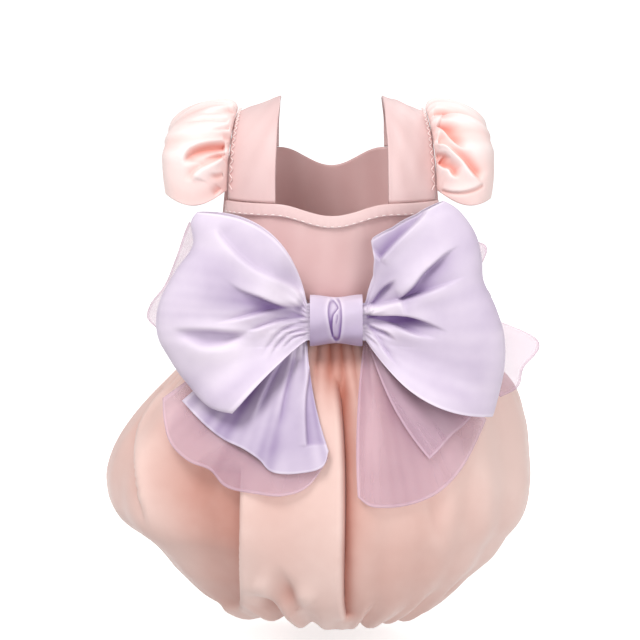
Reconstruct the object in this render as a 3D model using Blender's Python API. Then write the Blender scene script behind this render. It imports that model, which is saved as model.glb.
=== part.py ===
"""A small dog's dress: bodice, straps, puff sleeves, bubble skirt and a large organza bow.

The dress keeps the form it has when worn. +Z runs up the dog's spine to its neck, the back of
the dress faces -Y, and +X is to the right as the back is looked at. The origin is where the
dress hangs on the shoulders, midway between the tops of the two straps.
"""

import math
from collections import namedtuple

import bmesh
import bpy
from mathutils import Vector

# Body of the dress, outside sizes in metres
CHEST_HALF_WIDTH = 0.069
CHEST_HALF_DEPTH = 0.066
WAIST_HALF_WIDTH = 0.062
WAIST_HALF_DEPTH = 0.061
BODY_SQUARENESS = 2.6
CLOTH = 0.0015
SEAM_GAP = 0.0003

# Heights, as drops below the shoulders
NECKLINE_DROP = 0.061
NECKLINE_DIP = 0.0068
CHEST_TOP_DROP = 0.036
CHEST_DIP = 0.012
UNDERARM_DROP = 0.095
ARMHOLE_CORNER = 0.75
WAIST_DROP = 0.143

# Straps
NECK_HALF_GAP = 0.034
STRAP_WIDTH = 0.029
STRAP_TAPER = 0.92
SHOULDER_SLOPE = 0.010

# Neckline band and belly placket
BAND_HEIGHT = 0.0075
BAND_CLOTH = 0.0012
PLACKET_WIDTH = 0.018

# Sleeves
SLEEVE_REACH = 0.041
SLEEVE_PUFF = 0.017
SLEEVE_PLEATS = 7
SLEEVE_PLEAT_DEPTH = 0.0022
SLEEVE_CLOTH = 0.0012
SLEEVE_START = 0.02
SLEEVE_END = 0.55
SLEEVE_SAG = 0.012

# Skirt
SKIRT_LENGTH = 0.182
SKIRT_LEFT = 0.140
SKIRT_RIGHT = 0.123
SKIRT_BACK = 0.100
SKIRT_FRONT = 0.080
HEM_HALF_WIDTH = 0.052
HEM_HALF_DEPTH = 0.048
HEM_SCALLOP = 0.006
SKIRT_SQUARENESS = 2.2
SKIRT_COLUMNS = 36

# Bow
KNOT_OFFSET = 0.0024
KNOT_DROP = 0.1290
KNOT_WIDTH = 0.0312
KNOT_HEIGHT = 0.029
KNOT_DEPTH = 0.025
KNOT_CLOTH = 0.0016
KNOT_TUCK = 0.0022
KNOT_FLARE = 0.06
BOW_CLOTH = 0.0012
BOW_CLEARANCE = 0.0018
BOW_LAYER = 0.0032
BOW_TIGHT_LAYER = 0.0018
ROOT_LAYER = 0.0032
ROOT_HEIGHT = 0.016
ROOT_CLEARANCE = 0.002
ROOT_HELD = 0.25
LOOP_REACH = 0.1068
LOOP_PUFF = 0.012
TAIL_REACH = 0.1230
BACK_REACH = 0.1130
FLOAT_DEPTH = 0.060

Section = namedtuple("Section", "drop left right depth")
Fold = namedtuple("Fold", "angle half_span depth lift")
Ray = namedtuple("Ray", "across angle reach bow")
Pleat = namedtuple("Pleat", "across half_span depth run")
Sheet = namedtuple("Sheet", "name side layer root_layer tilt reach rays pleats")

# Shares: drop of the skirt's length, the others of the growth from waist (or hem) to fullest
SKIRT_SECTIONS = (
    Section(0.000, 0.00, 0.00, 0.00),
    Section(0.060, 0.20, 0.30, 0.22),
    Section(0.170, 0.47, 0.76, 0.58),
    Section(0.300, 0.76, 0.94, 0.82),
    Section(0.430, 0.95, 0.99, 0.95),
    Section(0.535, 1.00, 1.00, 1.00),
    Section(0.665, 0.89, 0.88, 0.95),
    Section(0.785, 0.68, 0.73, 0.82),
    Section(0.890, 0.45, 0.49, 0.60),
    Section(0.965, 0.22, 0.24, 0.30),
    Section(1.000, 0.03, 0.03, 0.03),
)
FULLEST = 5
# The hem turned under: drop as above, and the inset from the hem as a share of its width
HEM_RETURN = (
    Section(0.985, -0.09, -0.09, -0.09),
    Section(0.935, -0.10, -0.10, -0.10),
)

# Folds of the skirt's back, left to right: depth as a share of the radius, lift of the scallop
SKIRT_FOLDS = (
    Fold(-72, 7, 0.030, 0.5),
    Fold(-46, 15, 0.085, 0.6),
    Fold(-18, 9, 0.025, 1.5),
    Fold(7, 6, 0.085, 0.9),
    Fold(27, 9, 0.030, 1.0),
    Fold(46, 9, 0.035, 0.8),
    Fold(65, 9, 0.045, 0.9),
)
# The belly side, which the photograph doesn't show, has plain even folds
BELLY_FOLD_ANGLES = range(104, 257, 19)
BELLY_FOLD = Fold(0, 9, 0.05, 0.7)

# The bow's sheets as rays from the knot: angle above the horizontal, reach as a share
LOOP_LEFT_RAYS = (
    Ray(0.00, 38.4, 0.98, 0.43),
    Ray(0.14, 29.0, 0.95, 0.28),
    Ray(0.28, 17.0, 0.945, 0.14),
    Ray(0.42, 7.9, 0.985, 0.07),
    Ray(0.56, 1.0, 1.00, 0.04),
    Ray(0.70, -6.2, 0.99, 0.02),
    Ray(0.82, -13.0, 0.94, 0.03),
    Ray(0.91, -21.0, 0.905, 0.05),
    Ray(1.00, -33.0, 0.85, 0.06),
)
LOOP_RIGHT_RAYS = (
    Ray(0.00, 47.2, 0.92, 0.41),
    Ray(0.11, 41.3, 0.925, 0.30),
    Ray(0.22, 32.2, 0.915, 0.20),
    Ray(0.33, 23.6, 0.88, 0.10),
    Ray(0.43, 15.7, 0.855, 0.03),
    Ray(0.53, 5.4, 0.89, 0.00),
    Ray(0.64, -4.1, 0.935, -0.05),
    Ray(0.76, -14.8, 0.97, -0.12),
    Ray(0.88, -23.8, 1.00, -0.18),
    Ray(1.00, -31.3, 1.025, -0.24),
)
TAIL_LEFT_RAYS = (
    Ray(0.00, -28.2, 0.852, 0.00),
    Ray(0.20, -37.2, 0.815, 0.00),
    Ray(0.40, -45.8, 0.783, 0.00),
    Ray(0.56, -53.5, 0.746, 0.00),
    Ray(0.70, -60.5, 0.745, 0.00),
    Ray(0.80, -66.2, 0.762, 0.00),
    Ray(0.90, -73.7, 0.729, 0.00),
    Ray(1.00, -79.0, 0.695, 0.00),
)
TAIL_LEFT_UNDER_RAYS = (
    Ray(0.00, -25.0, 0.934, 0.00),
    Ray(0.13, -31.5, 0.985, 0.00),
    Ray(0.26, -37.0, 1.010, 0.00),
    Ray(0.40, -43.8, 0.985, 0.00),
    Ray(0.52, -49.5, 0.938, 0.00),
    Ray(0.64, -56.0, 0.950, 0.00),
    Ray(0.76, -64.5, 0.900, 0.00),
    Ray(0.86, -73.5, 0.850, 0.00),
    Ray(0.94, -80.5, 0.775, 0.00),
    Ray(1.00, -86.5, 0.640, 0.10),
)
TAIL_RIGHT_RAYS = (
    Ray(0.00, -34.0, 0.883, 0.00),
    Ray(0.16, -42.0, 0.908, 0.00),
    Ray(0.30, -50.5, 0.940, 0.00),
    Ray(0.45, -58.9, 0.955, 0.00),
    Ray(0.60, -67.4, 0.939, 0.00),
    Ray(0.78, -75.2, 0.906, 0.00),
    Ray(0.90, -79.8, 0.877, 0.00),
    Ray(1.00, -82.9, 0.829, -0.06),
)
LOOP_RIGHT_UNDER_RAYS = (
    Ray(0.00, -29.0, 0.915, 0.00),
    Ray(0.30, -36.0, 0.930, 0.00),
    Ray(0.60, -44.5, 0.900, 0.00),
    Ray(0.85, -51.5, 0.905, -0.06),
    Ray(1.00, -55.5, 0.910, -0.12),
)
BACK_LEFT_RAYS = (
    Ray(0.00, 33.3, 0.928, 0.05),
    Ray(0.28, 20.2, 0.905, 0.03),
    Ray(0.50, 10.2, 0.928, 0.00),
    Ray(0.66, 3.7, 0.990, 0.00),
    Ray(0.78, -0.5, 1.000, 0.00),
    Ray(0.88, -4.2, 0.945, 0.00),
    Ray(1.00, -10.5, 0.880, 0.00),
)
BACK_RIGHT_RAYS = (
    Ray(0.00, 31.0, 0.840, 0.05),
    Ray(0.14, 25.3, 0.934, 0.03),
    Ray(0.30, 16.5, 0.830, 0.00),
    Ray(0.44, 7.8, 0.900, 0.00),
    Ray(0.56, 0.0, 0.870, 0.00),
    Ray(0.68, -6.6, 1.115, 0.00),
    Ray(0.82, -15.5, 1.067, 0.00),
    Ray(0.93, -21.7, 1.062, 0.00),
    Ray(1.00, -26.0, 0.980, 0.00),
)

# Pleats that run out of the knot: depth as a share of the loop's puff, run as a share of reach
LOOP_LEFT_PLEATS = (
    Pleat(0.30, 0.10, 0.55, 0.80),
    Pleat(0.58, 0.08, 1.00, 0.75),
    Pleat(0.74, 0.05, 0.60, 0.95),
)
LOOP_RIGHT_PLEATS = (
    Pleat(0.16, 0.07, 0.60, 0.60),
    Pleat(0.38, 0.08, 0.80, 0.85),
    Pleat(0.62, 0.06, 1.00, 0.70),
    Pleat(0.80, 0.05, 0.70, 0.45),
)
TAIL_PLEATS = (
    Pleat(0.30, 0.10, 0.50, 1.10),
    Pleat(0.70, 0.12, 0.40, 1.10),
)

# Layers count outwards from the dress, and root layers inwards from the knot's middle
BOW_LOOPS = (
    Sheet("bow_loop_left", -1, 3, -2, 0.0, LOOP_REACH, LOOP_LEFT_RAYS, LOOP_LEFT_PLEATS),
    Sheet("bow_loop_right", 1, 3, -2, 0.0, LOOP_REACH, LOOP_RIGHT_RAYS, LOOP_RIGHT_PLEATS),
)
BOW_TAILS = (
    Sheet("bow_tail_left", -1, 2, 0, 0.6, TAIL_REACH, TAIL_LEFT_RAYS, TAIL_PLEATS),
    Sheet("bow_tail_left_under", -1, 1, 1, 0.6, TAIL_REACH, TAIL_LEFT_UNDER_RAYS, ()),
    Sheet("bow_tail_right", 1, 1, 1, 0.6, TAIL_REACH, TAIL_RIGHT_RAYS, ()),
    Sheet("bow_loop_right_under", 1, 2, 0, 0.6, LOOP_REACH, LOOP_RIGHT_UNDER_RAYS, ()),
    Sheet("bow_back_left", -1, 0, 2, 0.0, BACK_REACH, BACK_LEFT_RAYS, ()),
    Sheet("bow_back_right", 1, 0, 2, 0.0, BACK_REACH, BACK_RIGHT_RAYS, ()),
)

PINK = (0.80, 0.57, 0.54, 1.0)
PALE_PINK = (0.90, 0.70, 0.66, 1.0)
LILAC = (0.68, 0.60, 0.82, 1.0)
SHEER_LILAC = (0.66, 0.50, 0.66, 1.0)


def clear_scene():
    for obj in list(bpy.data.objects):
        bpy.data.objects.remove(obj)


def lerp(a, b, share):
    return a + (b - a) * share


def smooth(share):
    share = min(1.0, max(0.0, share))
    return share * share * (3 - 2 * share)


def dent(distance, half_span):
    """1 in the middle of a fold, falling smoothly to 0 at its half span."""
    return smooth(1 - abs(distance) / half_span)


def power(value, exponent):
    return math.copysign(abs(value) ** exponent, value)


def oval(angle, left, right, back, front, squareness):
    """A point of a rounded square ring; angle 0 is the back, and 90 degrees the right."""
    across, along = math.sin(angle), math.cos(angle)
    wide = abs(across) / (right if across > 0 else left)
    deep = abs(along) / (back if along > 0 else front)
    reach = (wide**squareness + deep**squareness) ** (-1 / squareness)
    return reach * across, -reach * along


def oval_depth(x, half_width, half_depth, squareness):
    """How far an oval's back is from the axis plane at x, or 0 past its side."""
    share = min(1.0, abs(x) / half_width)
    return half_depth * (1 - share**squareness) ** (1 / squareness)


def row_at(rows, key, value):
    """A table's row at a value of its first column, on straight lines between its rows."""
    for above, below in zip(rows, rows[1:]):
        if value <= getattr(below, key):
            break
    span = getattr(below, key) - getattr(above, key)
    share = min(1.0, max(0.0, (value - getattr(above, key)) / span))
    return type(above)(*(lerp(a, b, share) for a, b in zip(above, below)))


def material(name, colour, roughness):
    made = bpy.data.materials.new(name)
    made.use_nodes = True
    shader = made.node_tree.nodes["Principled BSDF"]
    shader.inputs["Base Color"].default_value = colour
    shader.inputs["Roughness"].default_value = roughness
    shader.inputs["Metallic"].default_value = 0.0
    made.diffuse_color = colour
    return made


def cloth(name, finish, place, across, along, wall, inward=True, closes=False, turn=False):
    """A sheet of cloth as a solid: place(s, t) gives its points for shares s and t."""
    bm = bmesh.new()
    bmesh.ops.create_grid(bm, x_segments=across, y_segments=along, size=0.5)
    for vert in bm.verts:
        vert.co = Vector(place(vert.co.x + 0.5, vert.co.y + 0.5))
    if closes:
        bmesh.ops.remove_doubles(bm, verts=bm.verts, dist=1e-6)
    if turn:
        bmesh.ops.reverse_faces(bm, faces=bm.faces)
    mesh = bpy.data.meshes.new(name)
    bm.to_mesh(mesh)
    bm.free()
    mesh.shade_smooth()
    obj = bpy.data.objects.new(name, mesh)
    bpy.context.scene.collection.objects.link(obj)
    mesh.materials.append(finish)
    thick = obj.modifiers.new("wall", "SOLIDIFY")
    thick.thickness = wall
    thick.offset = -1.0 if inward else 0.0
    return obj


def body_half_sizes(z):
    """Half width and half depth of the bodice at a height."""
    share = smooth((-z - UNDERARM_DROP) / (WAIST_DROP - UNDERARM_DROP))
    return (
        lerp(CHEST_HALF_WIDTH, WAIST_HALF_WIDTH, share),
        lerp(CHEST_HALF_DEPTH, WAIST_HALF_DEPTH, share),
    )


def body_point(angle, z, stand_off=0.0):
    width, depth = (size + stand_off for size in body_half_sizes(z))
    x, y = oval(angle, width, width, depth, depth, BODY_SQUARENESS)
    return x, y, z


def top_edge(x, drop, dip):
    """The neckline's height: flat under the straps and dipping between them."""
    share = min(1.0, abs(x) / NECK_HALF_GAP)
    return -drop - dip * (0.5 + 0.5 * math.cos(math.pi * share))


def strap_angle():
    """The angle round the body at which the straps' outer edges stand."""
    x = NECK_HALF_GAP + STRAP_WIDTH
    return math.atan2(x, oval_depth(x, CHEST_HALF_WIDTH, CHEST_HALF_DEPTH, BODY_SQUARENESS))


def panel_top(turn, drop, dip):
    """A panel's top edge: the neckline, then the armhole down to the side seam."""
    x = body_point(turn, -drop)[0]
    fall = smooth((abs(turn) - strap_angle()) / (ARMHOLE_CORNER * (math.pi / 2 - strap_angle())))
    return lerp(top_edge(x, drop, dip), -UNDERARM_DROP, fall)


def seam_angle():
    """The half angle of a panel, short of the side seam by half a gap."""
    return math.pi / 2 - 0.5 * SEAM_GAP / CHEST_HALF_WIDTH


def make_bodice_back(finish):
    def place(s, t):
        angle = lerp(-seam_angle(), seam_angle(), s)
        top = panel_top(angle, NECKLINE_DROP, NECKLINE_DIP)
        return body_point(angle, lerp(-WAIST_DROP, top, t))

    cloth("bodice_back", finish, place, 24, 4, CLOTH)


def make_chest_panel(finish):
    def place(s, t):
        turn = lerp(-seam_angle(), seam_angle(), s)
        top = panel_top(turn, CHEST_TOP_DROP, CHEST_DIP)
        return body_point(math.pi + turn, lerp(-WAIST_DROP, top, t))

    cloth("chest_panel", finish, place, 20, 5, CLOTH)


def make_belly_placket(finish):
    """The plain overlapping strip that closes the dress under the belly."""

    def place(s, t):
        x = lerp(PLACKET_WIDTH / 2, -PLACKET_WIDTH / 2, s)
        top = top_edge(0.0, CHEST_TOP_DROP, CHEST_DIP) - SEAM_GAP
        z = lerp(-WAIST_DROP + SEAM_GAP, top, t)
        width, depth = body_half_sizes(z)
        stand_off = SEAM_GAP + BAND_CLOTH
        return x, oval_depth(x, width, depth, BODY_SQUARENESS) + stand_off, z

    cloth("belly_placket", finish, place, 4, 6, BAND_CLOTH)


def make_neckline_band(finish):
    """The folded edge along the back neckline, from one armhole to the other."""

    def place(s, t):
        angle = lerp(-strap_angle(), strap_angle(), s)
        x = body_point(angle, -NECKLINE_DROP)[0]
        top = top_edge(x, NECKLINE_DROP, NECKLINE_DIP) + SEAM_GAP
        stand_off = SEAM_GAP + BAND_CLOTH
        return body_point(angle, lerp(top - BAND_HEIGHT, top, t), stand_off)

    cloth("neckline_band", finish, place, 24, 1, BAND_CLOTH)


def strap_point(side, across, along):
    """A strap from the back neckline over the shoulder; across runs from neck to arm."""
    turn = math.pi * along
    narrowing = lerp(1.0, STRAP_TAPER, math.sin(turn) ** 2)
    x = (NECK_HALF_GAP + STRAP_WIDTH * across) * narrowing
    foot = -NECKLINE_DROP if along < 0.5 else -CHEST_TOP_DROP
    foot += SEAM_GAP
    top = -SHOULDER_SLOPE * across
    depth = oval_depth(x / narrowing, CHEST_HALF_WIDTH, CHEST_HALF_DEPTH, BODY_SQUARENESS)
    rise = 2 / BODY_SQUARENESS
    y = -depth * power(math.cos(turn), rise)
    z = lerp(foot, top, abs(math.sin(turn)) ** rise)
    return Vector((side * x, y, z))


def make_strap(name, side, finish):
    def place(s, t):
        return strap_point(side, s, t)

    cloth(name, finish, place, 3, 18, CLOTH, turn=side < 0)


def sleeve_point(side, across, along):
    """A puff sleeve sewn along the strap's outer edge; across runs round the puff."""
    step = 0.01
    seam = strap_point(side, 1.0, along)
    before = strap_point(side, 1.0, max(0.0, along - step))
    after = strap_point(side, 1.0, min(1.0, along + step))
    tangent = (after - before).normalized()
    outward = Vector((side, 0.0, 0.0))
    outward = (outward - tangent * outward.dot(tangent)).normalized()
    bulge = tangent.cross(outward) * -side
    end = lerp(SLEEVE_END, 1.0, (1 - abs(2 * along - 1) ** 5) ** 0.5)
    reach, puff = SLEEVE_REACH * end, SLEEVE_PUFF * end
    turn = math.radians(lerp(180, -65, across))
    pleat = math.cos(2 * math.pi * SLEEVE_PLEATS * along) * (1 - across) ** 1.5
    depth = SLEEVE_PLEAT_DEPTH * pleat * min(1.0, 6 * across)
    out = 0.5 * reach * (1 + math.cos(turn)) + depth * math.cos(turn)
    up = puff * math.sin(turn) + depth * math.sin(turn)
    sag = Vector((0, 0, SLEEVE_SAG * out / SLEEVE_REACH * (1 - math.sin(math.pi * along))))
    return seam + outward * (SEAM_GAP + out) + bulge * up - sag


def make_sleeve(name, side, finish):
    def place(s, t):
        return sleeve_point(side, s, lerp(SLEEVE_START, 1 - SLEEVE_START, t))

    cloth(name, finish, place, 6, 4 * SLEEVE_PLEATS, SLEEVE_CLOTH, turn=side < 0)


def skirt_half_sizes(row, below):
    """Left, right, back and front half sizes of the skirt at a section of its table."""
    foot_width = HEM_HALF_WIDTH if below else WAIST_HALF_WIDTH
    foot_depth = HEM_HALF_DEPTH if below else WAIST_HALF_DEPTH
    return (
        lerp(foot_width, SKIRT_LEFT, row.left),
        lerp(foot_width, SKIRT_RIGHT, row.right),
        lerp(foot_depth, SKIRT_BACK, row.depth),
        lerp(foot_depth, SKIRT_FRONT, row.depth),
    )


def all_folds():
    belly = (BELLY_FOLD._replace(angle=angle) for angle in BELLY_FOLD_ANGLES)
    return (*SKIRT_FOLDS, *belly)


def turned(degrees):
    """An angle brought to between -180 and 180 degrees."""
    return (degrees + 180) % 360 - 180


def skirt_point(angle, row, below):
    """A point of the skirt's outside; folds only ever sink in from its full outline."""
    squareness = lerp(BODY_SQUARENESS, SKIRT_SQUARENESS, smooth(4 * row.drop))
    x, y = oval(angle, *skirt_half_sizes(row, below), squareness)
    open_share = smooth(row.drop / 0.25) * (0.35 + 0.65 * smooth((1 - row.drop) / 0.12))
    sink, lift = 0.0, 0.0
    for fold in all_folds():
        dip = dent(turned(math.degrees(angle) - fold.angle), fold.half_span)
        sink += fold.depth * dip
        lift += fold.lift * dip
    scale = 1 - sink * open_share
    hem_share = smooth((row.drop - 0.8) / 0.15)
    z = -WAIST_DROP - SEAM_GAP - SKIRT_LENGTH * row.drop + HEM_SCALLOP * lift * hem_share
    return x * scale, y * scale, z


def make_skirt_panel(name, middle, finish):
    """Half of the bubble skirt: gathered at the waist, full, and turned under at the hem."""
    rows = [(row, index > FULLEST) for index, row in enumerate(SKIRT_SECTIONS)]
    rows = [(row, True) for row in reversed(HEM_RETURN)] + rows[::-1]
    half = math.pi / 2 - 0.5 * SEAM_GAP / WAIST_HALF_WIDTH

    def place(s, t):
        row, below = rows[round(t * (len(rows) - 1))]
        return skirt_point(middle + lerp(-half, half, s), row, below)

    cloth(name, finish, place, SKIRT_COLUMNS, len(rows) - 1, CLOTH)


def skirt_outside(x, z):
    """How far the skirt's back reaches at a place, without its folds."""
    drop = (-z - WAIST_DROP - SEAM_GAP) / SKIRT_LENGTH
    if not 0 < drop < 1:
        return 0.0
    row = row_at(SKIRT_SECTIONS, "drop", drop)
    below = drop > SKIRT_SECTIONS[FULLEST].drop
    left, right, back, _ = skirt_half_sizes(row, below)
    return oval_depth(x, right if x > 0 else left, back, SKIRT_SQUARENESS)


def drape_depth(x, z):
    """The surface that the bow lies on: the dress's back, and a flat depth past its sides."""
    width, depth = body_half_sizes(max(z, -WAIST_DROP))
    bodice = oval_depth(x, width, depth, BODY_SQUARENESS)
    reaches = (FLOAT_DEPTH, bodice, skirt_outside(x, z))
    return sum(reach**10 for reach in reaches) ** 0.1


def knot_centre():
    _, depth = body_half_sizes(-KNOT_DROP)
    reach = KNOT_DEPTH / 2 * (1 + KNOT_FLARE)
    return Vector((KNOT_OFFSET, -(depth + SEAM_GAP + reach), -KNOT_DROP))


def root_point(sheet, across):
    """Where a ray leaves the knot, in the bow's plane and from the knot's middle."""
    x = KNOT_WIDTH / 2 + ROOT_CLEARANCE + ROOT_HEIGHT * sheet.tilt * (1 - across)
    return Vector((sheet.side * x, ROOT_HEIGHT * (0.5 - across)))


def ray_point(sheet, across, out):
    """Where a ray of a bow sheet is, in the bow's plane, at a share of its length."""
    ray = row_at(sheet.rays, "across", across)
    angle = math.radians(ray.angle)
    root = root_point(sheet, across)
    far = sheet.reach * ray.reach * Vector((sheet.side * math.cos(angle), math.sin(angle)))
    along = far - root
    normal = Vector((-sheet.side * along.y, sheet.side * along.x))
    middle = root + along / 2 + normal * ray.bow
    at = root * (1 - out) ** 2 + middle * 2 * out * (1 - out) + far * out**2
    centre = knot_centre()
    return centre.x + at.x, centre.z + at.y


def pleating(sheet, across, out):
    """How deep the pleats are at a place on a bow sheet, as a share."""
    depth = 0.0
    for pleat in sheet.pleats:
        fade = smooth(1 - out / pleat.run) * smooth(out / 0.12)
        depth += pleat.depth * fade * dent(across - pleat.across, pleat.half_span)
    return depth


def held_point(sheet, across, root_layer):
    """A point of a bow sheet's end, held inside the knot."""
    centre = knot_centre()
    root = root_point(sheet, across)
    return centre.x + ROOT_HELD * root.x, centre.y + ROOT_LAYER * root_layer, centre.z + root.y


def lying_point(sheet, across, out, root_layer, relief):
    """A point of a bow sheet from where it leaves the knot (out 0) to its far edge (out 1)."""
    root_y = knot_centre().y + ROOT_LAYER * root_layer
    x, z = ray_point(sheet, across, out)
    drape = drape_depth(x, z) + BOW_CLEARANCE
    lying = drape + BOW_LAYER * sheet.layer + relief
    depth = lerp(-root_y, lying, smooth(out / 0.4))
    return x, -max(depth, drape + BOW_TIGHT_LAYER * sheet.layer), z


def make_bow_loop(sheet, finish):
    """A loop: one wide strip that leaves the knot, folds back at its far end and returns."""
    rows = 14

    def place(s, t):
        row = round(t * rows)
        front = row <= rows / 2
        root_layer = sheet.root_layer + (0 if front else 1)
        if row in (0, rows):
            return held_point(sheet, s, root_layer)
        turn = math.pi * (row - 1) / (rows - 2)
        out = max(0.0, math.sin(turn))
        edge = 0.55 + 0.45 * math.sin(math.pi * lerp(0.08, 0.92, s))
        relief = LOOP_PUFF * edge * (1 + math.sin(2 * turn))
        if front:
            relief -= LOOP_PUFF * pleating(sheet, s, out)
        return lying_point(sheet, s, out, root_layer, relief)

    cloth(sheet.name, finish, place, 14, rows, BOW_CLOTH, inward=False, turn=sheet.side < 0)


def make_bow_sheet(sheet, finish):
    """A tail, or a loop's sheer back layer: a single sheet that fans out of the knot."""
    rows = 8

    def place(s, t):
        row = round(t * rows)
        if row == 0:
            return held_point(sheet, s, sheet.root_layer)
        out = (row - 1) / (rows - 1)
        relief = BOW_LAYER * pleating(sheet, s, out)
        return lying_point(sheet, s, out, sheet.root_layer, relief)

    cloth(sheet.name, finish, place, 10, rows, BOW_CLOTH, inward=False, turn=sheet.side < 0)


def make_bow_knot(finish):
    """The band wrapped round the middle of the bow, with the tuck down its front."""
    centre = knot_centre()

    def place(s, t):
        turn = 2 * math.pi * s
        along = lerp(-0.5, 0.5, t)
        waist = 1 - KNOT_FLARE * math.cos(2 * math.pi * along)
        tuck = KNOT_TUCK * dent(along, 0.2) * max(0.0, -math.cos(turn))
        y = math.cos(turn) * (KNOT_DEPTH / 2 * waist + tuck)
        z = math.sin(turn) * KNOT_HEIGHT / 2 * waist
        return centre.x + along * KNOT_WIDTH, centre.y + y, centre.z + z

    cloth("bow_knot", finish, place, 18, 8, KNOT_CLOTH, closes=True)


def build():
    clear_scene()
    pink = material("pink_organza", PINK, 0.45)
    pale = material("pale_pink_organza", PALE_PINK, 0.45)
    lilac = material("lilac_satin_organza", LILAC, 0.35)
    sheer = material("sheer_lilac_organza", SHEER_LILAC, 0.4)
    make_bodice_back(pink)
    make_chest_panel(pink)
    make_belly_placket(pink)
    make_neckline_band(pink)
    make_skirt_panel("skirt_back", 0.0, pale)
    make_skirt_panel("skirt_belly", math.pi, pale)
    for word, side in (("left", -1), ("right", 1)):
        make_strap(f"strap_{word}", side, pink)
        make_sleeve(f"sleeve_{word}", side, pale)
    make_bow_knot(lilac)
    for sheet in BOW_LOOPS:
        make_bow_loop(sheet, lilac)
    for sheet in BOW_TAILS:
        make_bow_sheet(sheet, lilac if sheet.name == "bow_tail_left" else sheer)


build()
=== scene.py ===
"""The looks of a small dog's dress in organza over satin, with puff sleeves and a large bow.

The dress hangs as it does when worn: +Z runs up the spine to the neck, the back of the dress
faces -Y, and +X is to the right as the back is looked at. Every length is in metres.
"""

import math
from collections import namedtuple

import bmesh
import bpy
import numpy as np
from bpy.props import FloatProperty, FloatVectorProperty, PointerProperty
from mathutils import Matrix, Vector


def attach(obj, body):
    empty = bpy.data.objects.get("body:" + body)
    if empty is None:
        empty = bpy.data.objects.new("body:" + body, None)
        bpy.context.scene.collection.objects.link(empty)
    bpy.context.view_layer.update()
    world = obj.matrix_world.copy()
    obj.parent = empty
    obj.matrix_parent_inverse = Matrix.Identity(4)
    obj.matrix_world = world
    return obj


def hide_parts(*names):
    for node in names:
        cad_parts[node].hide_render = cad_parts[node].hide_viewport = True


bl_info = {
    "name": "Dog Dress",
    "version": (1, 0, 0),
    "blender": (4, 5, 0),
    "location": "View3D > Sidebar > Dog Dress",
    "description": "Makes the cloth pieces of a small dog's dress around its solid model",
    "category": "Object",
}

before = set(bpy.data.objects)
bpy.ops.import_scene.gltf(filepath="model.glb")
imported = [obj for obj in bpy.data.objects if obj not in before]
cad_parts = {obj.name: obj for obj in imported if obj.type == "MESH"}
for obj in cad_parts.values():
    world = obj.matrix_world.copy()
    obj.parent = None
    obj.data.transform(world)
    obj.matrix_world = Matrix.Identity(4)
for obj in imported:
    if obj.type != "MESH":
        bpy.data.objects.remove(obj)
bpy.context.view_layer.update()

# Pieces that are sewn together stand this far apart
SEAM_GAP = 0.0003

# Where the camera stands, and the plane in which front view lengths are measured
CAMERA_DISTANCE = 1.6
CAMERA_HEIGHT_ANGLE = math.radians(8)
VIEW_TARGET = Vector((-0.0072, -0.0600, -0.1309))
VIEW_WIDTH = 0.384
VIEW_CENTRE_ACROSS = -0.0072
VIEW_CENTRE_UP = -0.138

Section = namedtuple("Section", "path drop left right depth")
Fold = namedtuple("Fold", "angle half_span depth lift")
Ray = namedtuple("Ray", "across angle reach bow")
# A crease follows points of the front view, and stands up or sinks on either side of its way
Crease = namedtuple(
    "Crease", "points left right left_width right_width edge fade_in fade_out"
)
Dimple = namedtuple("Dimple", "across up radius depth")
Mark = namedtuple("Mark", "way across up")
# A soft oval patch of painted shade, and of painted highlight where the amount is below 0; some
# patches also mark where more layers lie together
Tint = namedtuple("Tint", "across up half_long half_short turn amount")
# A cloth of the bow: the solid it stands for, its side, its place among the layers where it
# lies and in the knot, the knot's tilt there, and what shapes and colours it
Sheet = namedtuple(
    "Sheet",
    "node side layer root_layer tilt reach root_height rays creases tints flat pushes",
    defaults=((),),
)
# Soft uneven wrinkles: a seed, how far the piece counts across and along, their span in the
# same unit, and the heading of their waves with its spread
Wrinkles = namedtuple(
    "Wrinkles", "seed across along span heading spread", defaults=(0.0, math.pi)
)
Light = namedtuple("Light", "name place size watts")
CREASE_STEPS = 25

# Columns and rows of the cloths
PANEL_GRID = (150, 64)
PLACKET_GRID = (14, 60)
BAND_GRID = (210, 10)
STRAP_GRID = (34, 220)
SLEEVE_GRID = (110, 300)
SKIRT_GRID = (380, 128)
KNOT_GRID = (220, 110)
LOOP_GRID = (200, 150)
TAIL_GRID = (150, 110)

# Wrinkles of each cloth; uneven ones only shift its gathers
RIPPLE_WAVES = 7
PANEL_WRINKLES = Wrinkles(11, 1.0, 0.25, 0.022, 0.0, 0.5)
STRAP_WRINKLES = Wrinkles(5, 0.029, 0.2, 0.016, 0.04 * math.pi, 0.35)
SLEEVE_UNEVEN = Wrinkles(21, 1.0, 0.0, 0.23)
SKIRT_UNEVEN = Wrinkles(31, 1.0, 0.3, 1.1)
SKIRT_BILLOWS = Wrinkles(37, 0.1, 0.06, 0.05, 0.0, 0.7)
LOOP_UNEVEN = Wrinkles(41, 1.0, 0.2, 0.35)
LOOP_FLOWS = Wrinkles(47, 0.05, 0.02, 0.016, 0.0, 0.45)
LOOP_STREAKS = Wrinkles(53, 0.095, 0.012, 0.009, 0.0, 0.2)
TAIL_UNEVEN = Wrinkles(61, 1.0, 0.2, 0.4)
TAIL_FLOWS = Wrinkles(67, 0.05, 0.02, 0.018, 0.0, 0.45)
TAIL_STREAKS = Wrinkles(73, 0.08, 0.012, 0.008, 0.0, 0.2)
KNOT_WRINKLES = Wrinkles(71, 0.03, 0.08, 0.012, math.pi / 2, 0.5)

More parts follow.
